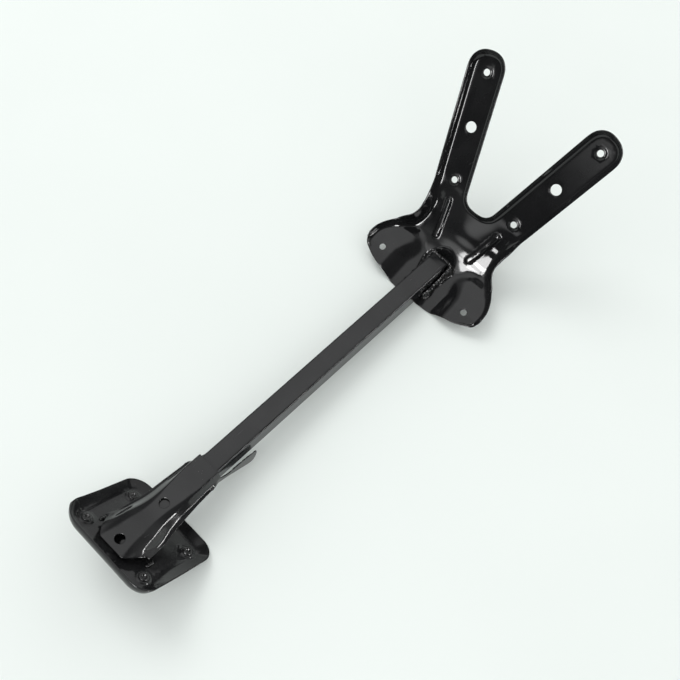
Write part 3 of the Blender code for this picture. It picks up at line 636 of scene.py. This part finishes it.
def build_yoke():
    """Yoke plate: ears, root and prongs, with the rim, pocket, beads, collars and holes."""
    half, rim = yoke_outline(YOKE_STEP)
    outline, order = mirrored(half)
    share = np.r_[rim, rim[1:-1][::-1]][order]
    normal = inward(outline)
    rise = edge_lift(outline) - yoke_lift(outline)
    s, a = outline[:, 0], np.abs(outline[:, 1])
    broad = span(a, RIM_BROAD_ACROSS) * span(s, RIM_BROAD_START) * (1 - span(s, RIM_BROAD_END))
    width = RIM_WIDTH + (RIM_WIDTH_ROOT - RIM_WIDTH) * broad
    width = width + (RIM_WIDTH_PRONG - RIM_WIDTH) * (1 - broad) * span(s, RIM_PRONG_START)
    power = RIM_POWER - RIM_POWER_DROP * span(s, RIM_SOFT_START)
    rings = []
    for part in RIM_PARTS:
        rings.append((outline + normal * (width * part)[:, None], rise * share * (1 - part) ** power))
    holes, loops = [], []
    for sign in (1, -1):
        flip = np.array([1, sign])
        for hole in (PRONG_ROOT_HOLE, PRONG_TIP_HOLE):
            holes.append(ring(np.array(hole) * flip, SMALL_HOLE_R, HOLE_POINTS))
            for radius in np.linspace(COLLAR_CREST, COLLAR_FOOT, 6):
                loops.append((ring(np.array(hole) * flip, radius, HOLE_POINTS), True))
        holes.append(ring(np.array(PRONG_MID_HOLE) * flip, MID_HOLE_R, MID_HOLE_POINTS))
        holes.append(ring(np.array(EAR_HOLE) * flip, SMALL_HOLE_R, HOLE_POINTS))
        start, end = np.array(BEAD_START) * flip, np.array(BEAD_END) * flip
        for radius in np.linspace(BEAD_CREST, BEAD_FOOT, 5):
            loops.append((capsule(start, end, radius, cap=9, side=20), True))
    # Lines along the top of the pocket's wall, so that its fold is divided evenly
    ca = math.cos(FLOOR_SLOPE)
    for offset in POCKET_LINES:
        radius = POCKET_HALF + offset * MM
        line = [((x * MM - FLOOR_START[0]) / ca, radius) for x in np.arange(146, 163, 1.6)]
        for a in np.radians(np.linspace(90, -90, 25)):
            line.append((((POCKET_END - FLOOR_START[0]) + radius * math.cos(a)) / ca, radius * math.sin(a)))
        line += [((x * MM - FLOOR_START[0]) / ca, -radius) for x in np.arange(162, 145, -1.6)]
        loops.append((np.array(line), False))
    spots = np.vstack([grid(-1, 122, -78, 78, 1.6), grid(123.5, 252, -92, 92, 3.6)])
    return sheet_object("yoke_plate_skin", outline, rings, holes, loops, spots, yoke_place,
                        keep_off=1.25 * MM, bevel=0.45 * MM)


def pan_place(flat, height):
    """Pan floor frame to space."""
    ca, sa = math.cos(PAN_TILT), math.sin(PAN_TILT)
    lift = height.copy()
    for i in (1, -1):
        for j in (1, -1):
            d = np.hypot(flat[:, 0] - i * PAN_HOLE[0], flat[:, 1] - j * PAN_HOLE[1])
            lift = lift + PAN_RING_HEIGHT * (1 - smooth(d, PAN_RING_CREST, PAN_RING_FOOT))
    x = PAN_ORIGIN[0] + flat[:, 0] * ca + lift * sa
    z = PAN_ORIGIN[2] - flat[:, 0] * sa + lift * ca
    return np.c_[x, flat[:, 1], z]


def build_pan():
    """Base pan: flat floor with ringed holes, a rolled front wall and flared rims."""
    corners = []
    for a_sign, c_sign, start, radius in ((1, 1, 0, PAN_FAR_CORNER), (-1, 1, 90, PAN_LEFT_CORNER),
                                          (-1, -1, 180, PAN_RIGHT_CORNER), (1, -1, 270, PAN_FAR_CORNER)):
        edge = PAN_FAR if a_sign > 0 else -PAN_FRONT
        centre = (a_sign * (edge - radius), c_sign * (PAN_HALF - radius))
        for a in np.radians(np.linspace(start, start + 90, 20)):
            corners.append((centre[0] + radius * math.cos(a), centre[1] + radius * math.sin(a)))
    outline = resample(np.array(corners), 1.8 * MM, closed=True)
    a, c = outline[:, 0], outline[:, 1]
    bulge = PAN_BULGE * span(a, PAN_BULGE_SPAN) * (1 - (c / PAN_HALF) ** 2)
    outline = outline + np.c_[bulge + PAN_FRONT_SLANT * c * span(-a, PAN_SLANT_SPAN), 0 * a]
    normal = inward(outline)
    frontness = 1 - span(a, PAN_SIDE_START)
    wall = np.interp(a, np.array(PAN_WALL_AT) * MM, np.array(PAN_WALL) * MM)
    width = PAN_FRONT_RIM * frontness + PAN_SIDE_RIM * (1 - frontness)
    rings = []
    for part in PAN_RIM_PARTS:
        steep = 1 - math.sqrt(max(1 - (1 - part) ** 2, 0.0))
        flare = (1 - part) ** PAN_FLARE_POWER
        rings.append((outline + normal * (width * part)[:, None],
                      wall * (steep * frontness + flare * (1 - frontness))))
    holes, loops = [], []
    for i in (1, -1):
        for j in (1, -1):
            centre = (i * PAN_HOLE[0], j * PAN_HOLE[1])
            holes.append(ring(centre, PAN_HOLE_R, PAN_HOLE_POINTS))
            for radius in np.linspace(PAN_RING_CREST, PAN_RING_FOOT, 5):
                loops.append((ring(centre, radius, PAN_HOLE_POINTS), True))
    spots = grid(-46, 50, -46, 46, 4.0)
    return sheet_object("base_pan_skin", outline, rings, holes, loops, spots, pan_place,
                        keep_off=1.6 * MM, bevel=0.45 * MM)


def build_plug(name, i, j):
    """Low round-headed fastener that closes one of the pan's ringed holes."""
    centre = np.array([PAN_HOLE[0] * i, PAN_HOLE[1] * j])
    turn = ring((0.0, 0.0), 1.0, PLUG_SIDES)
    pairs = [(k, (k + 1) % PLUG_SIDES) for k in range(PLUG_SIDES)]
    bm = bmesh.new()
    rows = []
    for radius, height in PLUG_PROFILE[1:]:
        flat = centre + turn * radius * MM
        rows.append([bm.verts.new(tuple(co)) for co in pan_place(flat, np.full(PLUG_SIDES, height * MM))])
    for row, outer in zip(rows, rows[1:]):
        for k, m in pairs:
            bm.faces.new([row[k], outer[k], outer[m], row[m]])
    tip = bm.verts.new(tuple(pan_place(centre[None], np.array([PLUG_PROFILE[0][1] * MM]))[0]))
    for k, m in pairs:
        bm.faces.new([tip, rows[0][k], rows[0][m]])
    bm.faces.new(rows[-1])
    bmesh.ops.recalc_face_normals(bm, faces=bm.faces)
    mesh = bpy.data.meshes.new(name)
    bm.to_mesh(mesh)
    bm.free()
    return add_object(name, mesh)


def pan_height(x):
    """Height of the pan's floor plane at x."""
    return PAN_ORIGIN[2] - (x - PAN_ORIGIN[0]) * math.tan(PAN_TILT)


def saddle_section(q, x):
    """Cross-section of the saddle at one distance across: flat, upper side, crease, lower side, lip."""
    top, half = table(x, SADDLE_TOP, 1), table(x, SADDLE_TOP, 2)
    root_y, root_z = table(x, SADDLE_ROOT, 1), table(x, SADDLE_ROOT, 2)
    out = np.interp(x, np.array(CREASE_X) * MM, CREASE_OUT)
    drop = np.interp(x, np.array(CREASE_X) * MM, CREASE_DROP)
    mid_y, mid_z = half + (root_y - half) * out, top - (top - root_z) * drop
    at = FLAT_SPAN + SHOULDER_SPAN * out
    edge = FLAT_SPAN + SHOULDER_SPAN
    down = span(x, LIP_TURN)
    tail = np.maximum(q - edge, 0)
    first = np.clip((q - FLAT_SPAN) / (at - FLAT_SPAN), 0, 1)
    second = np.clip((q - at) / (edge - at), 0, 1)
    y = half + (mid_y - half) * first + (root_y - mid_y) * second
    z = top + (mid_z - top) * first + (root_z - mid_z) * second
    y = np.where(q < FLAT_SPAN, q / FLAT_SPAN * half, y)
    z = np.where(q < FLAT_SPAN, top, z)
    return y + tail * (1 - down) * LIP_OUT, z - tail * down - tail * (1 - down) * LIP_DROP


def saddle_place(flat, height):
    """Flat pattern of the saddle to space, its folds rounded a little."""
    q = np.abs(flat[:, 1])
    sign = np.where(flat[:, 1] < 0, -1.0, 1.0)
    x = flat[:, 0]
    y, z = 0.0 * x, 0.0 * x
    shifts = np.linspace(-SADDLE_FOLD, SADDLE_FOLD, 9) * MM
    for shift in shifts:
        dy, dz = saddle_section(np.abs(q + shift), x)
        y, z = y + dy / len(shifts), z + dz / len(shifts)
    y = np.where(q < SADDLE_RIDGE, q / FLAT_SPAN * table(x, SADDLE_TOP, 2), y)
    t = np.clip((q - FLAT_SPAN) / SHOULDER_SPAN, 0, 1)
    near_front = 1 - smooth(x, SADDLE_FRONT, SADDLE_FRONT + SADDLE_SWEEP_SPAN)
    x = x + SADDLE_SWEEP * t ** SADDLE_SWEEP_POWER * near_front
    z = np.maximum(z, pan_height(x) + SHEET / math.cos(PAN_TILT) + GAP * 2)
    return np.c_[x, y * sign, z]


def build_saddle():
    """Saddle cover: folded hood with two holes, a lip along each side and a tongue at the tube's end."""
    edge = FLAT_SPAN + SHOULDER_SPAN
    tongue = [(x * MM, edge + d * MM) for x, d in TONGUE]
    front = np.array([(SADDLE_FRONT, 0.0), (SADDLE_FRONT, edge + SADDLE_LIP)])
    side = np.array([(SADDLE_FRONT, edge + SADDLE_LIP), (-162 * MM, edge + SADDLE_LIP)])
    half = np.vstack([resample(front, 1.3 * MM), resample(side, 1.6 * MM)[1:],
                      resample(curve(np.array(tongue[::-1])), 1.5 * MM),
                      resample(np.array([(SADDLE_END, edge), (SADDLE_END, 0.0)]), 1.3 * MM)])
    outline, _ = mirrored(half)
    holes = []
    for x in SADDLE_HOLES:
        stretch = FLAT_SPAN / float(table(x, SADDLE_TOP, 2))
        circle = ring((0.0, 0.0), SADDLE_HOLE_R, 40)
        holes.append(np.c_[circle[:, 0] + x, circle[:, 1] * stretch])
    loops = []
    for level in (FLAT_SPAN, edge, edge + 1.0 * MM):
        for sign in (1, -1):
            xs = np.arange(-252, -149 if level <= edge else -161, 1.7)
            loops.append((np.array([(x * MM, level * sign) for x in xs]), False))
    spots = grid(-252.5, -95, -60, 60, 1.8)
    no_rim = np.zeros(len(outline))
    return sheet_object("saddle_cover_skin", outline, [(outline, no_rim)], holes, loops, spots, saddle_place,
                        keep_off=1.15 * MM, bevel=0.4 * MM)


def loft(name, loops, closed=False):
    """A closed body through cross-sections that all have the same number of points."""
    count, total = len(loops[0]), len(loops)
    verts = [tuple(p) for loop in loops for p in loop]
    faces = []
    for i in range(total if closed else total - 1):
        j = (i + 1) % total
        for k in range(count):
            m = (k + 1) % count
            faces.append((i * count + k, i * count + m, j * count + m, j * count + k))
    if not closed:
        faces.append(tuple(range(count))[::-1])
        faces.append(tuple((total - 1) * count + k for k in range(count)))
    mesh = bpy.data.meshes.new(name)
    mesh.from_pydata(verts, [], faces)
    bm = bmesh.new()
    bm.from_mesh(mesh)
    bmesh.ops.recalc_face_normals(bm, faces=bm.faces[:])
    bm.to_mesh(mesh)
    bm.free()
    return add_object(name, mesh)


def build_tube():
    """Square tube with rolled corners and faintly dished faces, cut parallel to the pan at its end there."""
    def section(half, radius, steps):
        """Cross-section: four corner arcs with a few points along each face between them."""
        out = []
        for k, (sy, sz) in enumerate(((1, 1), (-1, 1), (-1, -1), (1, -1))):
            for a in np.radians(np.linspace(90 * k, 90 * k + 90, steps)):
                out.append((sy * (half - radius) + radius * math.cos(a),
                            sz * (half - radius) + radius * math.sin(a)))
            nxt = ((-1, 1), (-1, -1), (1, -1), (1, 1))[k]
            side = ((0, 1), (-1, 0), (0, -1), (1, 0))[k]
            for t in TUBE_FACE_POINTS:
                wide = half - radius
                y = sy * wide * (1 - t) + nxt[0] * wide * t + side[0] * radius
                z = sz * wide * (1 - t) + nxt[1] * wide * t + side[1] * radius
                dip = TUBE_FACE_DIP * math.sin(math.pi * t)
                out.append((y - side[0] * dip, z - side[1] * dip))
        return out
    centre = 0.5 * (TUBE_TOP + TUBE_BOTTOM)
    outer = section(TUBE_SIDE / 2, TUBE_RADIUS, TUBE_CORNER_POINTS)
    inner = section(TUBE_SIDE / 2 - TUBE_WALL, TUBE_RADIUS * 0.5, TUBE_CORNER_POINTS)
    clear = GAP * 1.5 / math.cos(PAN_TILT)
    out_and_back = [(t, outer) for t in np.linspace(0, 1, TUBE_STATIONS)]
    out_and_back += [(t, inner) for t in np.linspace(1, 0, TUBE_STATIONS)]
    loops = []
    for share, loop in out_and_back:
        row = []
        for y, z in loop:
            height = centre + z
            start = PAN_ORIGIN[0] + (PAN_ORIGIN[2] - height + clear) / math.tan(PAN_TILT)
            row.append((start + (TUBE_END - start) * share, y, height))
        loops.append(row)
    obj = loft("tube_arm_skin", loops, closed=True)
    round_edges(obj, TUBE_EDGE, 2, TUBE_SHARP_ANGLE)
    return obj


def plate_height(x, y):
    """Height of the yoke's upper face near the tube, where the plate has no other pressed form."""
    s = (x - FLOOR_START[0]) / math.cos(FLOOR_SLOPE)
    return float(yoke_place(np.array([[s, y]]), np.zeros(1))[0, 2])


def build_yoke_weld():
    """Weld bead along both sides of the tube's end and across it, in overlapping drops as laid by hand."""
    half = TUBE_SIDE / 2
    path = [(x, half, 0.0, 1.0) for x in np.arange(WELD_BACK, WELD_FRONT, WELD_STEP) * MM + TUBE_END]
    path += [(TUBE_END, half, math.cos(a), math.sin(a)) for a in np.radians(np.linspace(82, 8, 10))]
    path += [(TUBE_END, y * MM, 1.0, 0.0) for y in np.arange(9.4, -9.6, -WELD_STEP)]
    path += [(TUBE_END, -half, math.cos(a), math.sin(a)) for a in np.radians(np.linspace(-8, -82, 10))]
    back = np.arange(WELD_FRONT, WELD_BACK + WELD_FRONT, -WELD_STEP) * MM + TUBE_END
    path += [(x, -half, 0.0, -1.0) for x in back]
    stations = []
    run = 0.0
    for i, (x, y, dx, dy) in enumerate(path):
        run += WELD_STEP
        # Drops laid one over the other, with slower unevenness between them
        drop = abs(math.sin(run * math.pi / WELD_DROP + 0.6 * math.sin(run * 0.31)))
        lump = 0.9 * drop + 0.5 * math.sin(run * 0.47) + 0.3 * math.sin(run * 1.9 + 1.0)
        size = (WELD_SIZE + lump + WELD_END_SIZE * float(smooth(x, TUBE_END - 9 * MM, TUBE_END))) * MM
        tall = np.interp(x - TUBE_END, np.array(WELD_AT) * MM, np.array(WELD_HEIGHT) * MM)
        tall = tall + lump * 0.8 * MM
        end = min(i, len(path) - 1 - i)
        size *= 0.55 + 0.45 * float(smooth(end, 0, 6))
        gap = GAP * 1.1
        section = []
        for out, up in WELD_SECTION:
            px = x + dx * (gap + out * size)
            py = y + dy * (gap + out * size)
            lift = max(plate_height(px, py), TUBE_BOTTOM - 4 * MM) + gap
            if up > 0:
                lift = max(lift + 0.2 * up * MM, TUBE_BOTTOM + up * tall)
            section.append((px, py, lift))
        stations.append(section)
    return loft("yoke_weld_skin", stations)


def build_saddle_weld(name, sign):
    """Short bead where the saddle's side stands on the pan's floor."""
    stations = []
    ca, sa = math.cos(PAN_TILT), math.sin(PAN_TILT)
    for i, a in enumerate(np.linspace(*SADDLE_WELD_SPAN, SADDLE_WELD_STATIONS)):
        end = min(i, SADDLE_WELD_STATIONS - 1 - i)
        size = (SADDLE_WELD_SIZE + 0.3 * math.sin(a * 2.3) + 0.12 * math.sin(a * 6.1)) * MM
        size *= 0.5 + 0.5 * float(smooth(end, 0, 4))
        section = []
        for ang in np.radians(np.linspace(0, 180, 13)):
            across = SADDLE_WELD_ACROSS + size * 1.3 * math.cos(ang)
            h = GAP + size * math.sin(ang)
            x = PAN_ORIGIN[0] + a * MM * ca + h * sa
            z = PAN_ORIGIN[2] - a * MM * sa + h * ca
            section.append((x, sign * across, z))
        stations.append(section)
    return loft(name, stations)


class Nodes:
    """Short way to add and join shader nodes."""

    def __init__(self, name):
        """New material with its own shader and the piece's coordinates."""
        self.mat = bpy.data.materials.new(name)
        self.mat.use_nodes = True
        self.tree = self.mat.node_tree
        self.shader = self.tree.nodes["Principled BSDF"]
        self.coord = self.add("ShaderNodeTexCoord").outputs["Object"]

    def add(self, kind, **values):
        """New node with the given settings."""
        node = self.tree.nodes.new(kind)
        for key, value in values.items():
            setattr(node, key, value)
        return node

    def link(self, a, b):
        """Join an output to an input."""
        self.tree.links.new(a, b)

    def noise(self, scale, detail=2.0, rough=0.5, stretch=None):
        """Cloudy pattern, drawn out into streaks where a stretch is given."""
        node = self.add("ShaderNodeTexNoise")
        node.inputs["Scale"].default_value = scale
        node.inputs["Detail"].default_value = detail
        node.inputs["Roughness"].default_value = rough
        source = self.coord
        if stretch:
            mapping = self.add("ShaderNodeMapping")
            mapping.inputs["Scale"].default_value = stretch
            mapping.inputs["Rotation"].default_value = (0.0, 0.0, 0.5)
            self.link(self.coord, mapping.inputs["Vector"])
            source = mapping.outputs["Vector"]
        self.link(source, node.inputs["Vector"])
        return node.outputs["Fac"]

    def ramp(self, value, low, high, out_low=0.0, out_high=1.0):
        """Eased step of a value between two limits."""
        node = self.add("ShaderNodeMapRange")
        node.interpolation_type = 'SMOOTHSTEP'
        node.inputs["From Min"].default_value = low
        node.inputs["From Max"].default_value = high
        node.inputs["To Min"].default_value = out_low
        node.inputs["To Max"].default_value = out_high
        self.link(value, node.inputs["Value"])
        return node.outputs["Result"]

    def math(self, kind, a, b):
        """Arithmetic on two values, each a number or an output."""
        node = self.add("ShaderNodeMath", operation=kind)
        for socket, value in zip(node.inputs, (a, b)):
            if isinstance(value, float):
                socket.default_value = value
            else:
                self.link(value, socket)
        return node.outputs["Value"]

    def mix(self, share, a, b):
        """Colour between two colours, each a tuple or an output."""
        node = self.add("ShaderNodeMix", data_type='RGBA')
        self.link(share, node.inputs["Factor"])
        for socket, value in ((node.inputs["A"], a), (node.inputs["B"], b)):
            if isinstance(value, tuple):
                socket.default_value = (*value, 1.0)
            else:
                self.link(value, socket)
        return node.outputs["Result"]

    def bump(self, height, strength, distance, before=None):
        """Fine unevenness of the surface, laid over an earlier one where that is given."""
        node = self.add("ShaderNodeBump")
        node.inputs["Strength"].default_value = strength
        node.inputs["Distance"].default_value = distance
        self.link(height, node.inputs["Height"])
        if before:
            self.link(before, node.inputs["Normal"])
        return node.outputs["Normal"]


def paint(obj, name, wave, grit, low, high):
    """Gloss black paint over pressed steel: slow waves, fine skin, dust, rubbed patches, light scratches.

    wave and grit are the strengths of the two bumps, low and high the limits of the roughness.
    """
    n = Nodes(name)
    patches = n.ramp(n.noise(26.0, 3.0), 0.35, 0.7)
    dust = n.ramp(n.noise(640.0, 1.0), 0.775, 0.80)
    dust = n.math('MULTIPLY', dust, n.ramp(n.noise(16.0, 2.0), 0.56, 0.70))
    scratch = n.ramp(n.noise(70.0, 2.0, 0.6, stretch=(0.25, 9.0, 3.0)), 0.70, 0.74)
    scratch = n.math('MULTIPLY', scratch, n.ramp(n.noise(21.0, 1.0), 0.58, 0.7))
    base = n.mix(patches, PAINT_DARK, PAINT_PALE)
    base = n.mix(n.math('MULTIPLY', scratch, 0.5), base, SCRATCH_COLOUR)
    base = n.mix(n.math('MULTIPLY', dust, 0.5), base, DUST_COLOUR)
    n.link(base, n.shader.inputs["Base Color"])
    gloss = n.ramp(n.noise(48.0, 4.0), 0.3, 0.75, low, high)
    gloss = n.math('ADD', gloss, n.math('MULTIPLY', n.math('MAXIMUM', dust, scratch), 0.3))
    n.link(gloss, n.shader.inputs["Roughness"])
    n.shader.inputs["Metallic"].default_value = 0.0
    n.shader.inputs["IOR"].default_value = PAINT_IOR
    skin = n.bump(n.noise(38.0, 1.0), wave, 0.001)
    skin = n.bump(n.noise(520.0, 1.0), grit, 0.0002, skin)
    skin = n.bump(dust, 0.4, 0.0002, skin)
    n.link(skin, n.shader.inputs["Normal"])
    obj.data.materials.clear()
    obj.data.materials.append(n.mat)


def weld_paint(obj, name):
    """The same paint over a weld bead: ripples, pits and small spatter."""
    n = Nodes(name)
    tone = n.ramp(n.noise(150.0, 3.0), 0.35, 0.7)
    n.link(n.mix(tone, WELD_DARK, WELD_PALE), n.shader.inputs["Base Color"])
    n.link(n.ramp(n.noise(220.0, 3.0), 0.3, 0.75, 0.11, 0.27), n.shader.inputs["Roughness"])
    n.shader.inputs["IOR"].default_value = PAINT_IOR
    lumps = n.bump(n.noise(190.0, 1.0), 0.5, 0.0012)
    pits = n.bump(n.noise(900.0, 1.0), 0.06, 0.0002, lumps)
    n.link(pits, n.shader.inputs["Normal"])
    obj.data.materials.clear()
    obj.data.materials.append(n.mat)


# Pieces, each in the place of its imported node
yoke, tube, pan, saddle = build_yoke(), build_tube(), build_pan(), build_saddle()
yoke_weld = build_yoke_weld()
weld_left = build_saddle_weld("saddle_weld_left_skin", 1)
weld_right = build_saddle_weld("saddle_weld_right_skin", -1)
for piece, node in ((yoke, "yoke_plate"), (tube, "tube_arm"), (pan, "base_pan"),
                    (saddle, "saddle_cover"), (yoke_weld, "yoke_weld"),
                    (weld_left, "saddle_weld_left"), (weld_right, "saddle_weld_right")):
    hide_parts(node)
    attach(piece, "root")
paint(yoke, "yoke_paint", wave=0.05, grit=0.012, low=0.07, high=0.12)
paint(tube, "tube_paint", wave=0.08, grit=0.03, low=0.08, high=0.14)
paint(pan, "pan_paint", wave=0.16, grit=0.05, low=0.09, high=0.17)
paint(saddle, "saddle_paint", wave=0.06, grit=0.02, low=0.07, high=0.12)
for piece in (yoke_weld, weld_left, weld_right):
    weld_paint(piece, piece.name + "_paint")

# Fasteners in the pan's holes
for i in (1, -1):
    for j in (1, -1):
        side = "left" if j > 0 else "right"
        plug = build_plug("pan_plug_" + ("far_" if i > 0 else "near_") + side, i, j)
        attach(plug, "root")
        weld_paint(plug, plug.name + "_paint")

# Pale table
mesh = bpy.data.meshes.new("table_top")
corners = [(x * TABLE_HALF, y * TABLE_HALF, 0) for x, y in ((-1, -1), (1, -1), (1, 1), (-1, 1))]
mesh.from_pydata(corners, [], [(0, 1, 2, 3)])
table_top = bpy.data.objects.new("table_top", mesh)
bpy.context.scene.collection.objects.link(table_top)
n = Nodes("table_finish")
n.link(n.mix(n.ramp(n.noise(2.2, 3.0), 0.3, 0.7), *TABLE_COLOURS), n.shader.inputs["Base Color"])
n.link(n.ramp(n.noise(9.0, 3.0), 0.3, 0.7, 0.55, 0.7), n.shader.inputs["Roughness"])
n.link(n.bump(n.noise(300.0, 2.0), 0.05, 0.0003), n.shader.inputs["Normal"])
n.shader.inputs["Specular IOR Level"].default_value = 0.2
table_top.data.materials.append(n.mat)

# Room light: bright above and beyond the fork, darker behind the base and on the right side
world = bpy.data.worlds.new("room")
world.use_nodes = True
bpy.context.scene.world = world
tree = world.node_tree
back = tree.nodes["Background"]
where = tree.nodes.new("ShaderNodeTexCoord")
split = tree.nodes.new("ShaderNodeSeparateXYZ")
tree.links.new(where.outputs["Generated"], split.inputs["Vector"])


def world_step(value, low, high, out_low, out_high):
    """Eased step of the world's light between two values of one input."""
    node = tree.nodes.new("ShaderNodeMapRange")
    node.interpolation_type = 'SMOOTHSTEP'
    for key, number in (("From Min", low), ("From Max", high), ("To Min", out_low), ("To Max", out_high)):
        node.inputs[key].default_value = number
    tree.links.new(value, node.inputs["Value"])
    return node.outputs["Result"]


def glow(toward, inner, outer, radiance):
    """Soft-edged bright patch of the room in one direction; inner and outer are cosines."""
    dot = tree.nodes.new("ShaderNodeVectorMath")
    dot.operation = 'DOT_PRODUCT'
    dot.inputs[1].default_value = Vector(toward).normalized()
    tree.links.new(where.outputs["Generated"], dot.inputs[0])
    return world_step(dot.outputs["Value"], outer, inner, 0.0, radiance)


def world_join(kind, a, b):
    """Two world values joined by one arithmetic step."""
    node = tree.nodes.new("ShaderNodeMath")
    node.operation = kind
    tree.links.new(a, node.inputs[0])
    tree.links.new(b, node.inputs[1])
    return node.outputs["Value"]


high = world_step(split.outputs["Z"], *ROOM_UP)
ahead = world_step(split.outputs["X"], *ROOM_AHEAD)
aside = world_step(split.outputs["Y"], *ROOM_ASIDE)
room = world_join('MULTIPLY', world_join('MULTIPLY', high, ahead), aside)
room = world_join('MAXIMUM', room, world_step(split.outputs["X"], *ROOM_BEYOND))
for patch in GLOWS:
    room = world_join('ADD', room, glow(*patch))
paths = tree.nodes.new("ShaderNodeLightPath")
even = tree.nodes.new("ShaderNodeMix")
even.inputs["B"].default_value = ROOM_EVEN
tree.links.new(paths.outputs["Is Diffuse Ray"], even.inputs["Factor"])
tree.links.new(room, even.inputs["A"])
tree.links.new(even.outputs["Result"], back.inputs["Strength"])
back.inputs["Color"].default_value = ROOM_COLOUR


def lamp(name, toward, distance, wide, tall, radiance, target):
    """Soft area lamp seen from a point of the bracket in one direction."""
    direction = Vector(toward).normalized()
    data = bpy.data.lights.new(name, 'AREA')
    data.shape = 'RECTANGLE'
    data.size = wide
    data.size_y = tall
    data.energy = radiance * math.pi * wide * tall
    obj = bpy.data.objects.new(name, data)
    obj.location = Vector(target) + direction * distance
    obj.rotation_euler = direction.to_track_quat('Z', 'Y').to_euler()
    obj.visible_camera = False
    bpy.context.scene.collection.objects.link(obj)
    return obj


# The windows show only as reflections, the ceiling lamp only as even light
for window in WINDOWS:
    lamp(*window).visible_diffuse = False
lamp(*CEILING).visible_glossy = False

# Camera at the photograph's angle
cam_data = bpy.data.cameras.new("camera")
cam_data.sensor_fit = 'HORIZONTAL'
cam_data.sensor_width = 36.0
cam_data.lens = CAMERA_LENS
cam_data.clip_start = 0.01
cam_data.clip_end = 50.0
camera = bpy.data.objects.new("camera", cam_data)
camera.matrix_world = REST @ Matrix(CAMERA_VIEW)
bpy.context.scene.collection.objects.link(camera)
bpy.context.scene.camera = camera
bpy.context.scene.view_settings.view_transform = 'Standard'
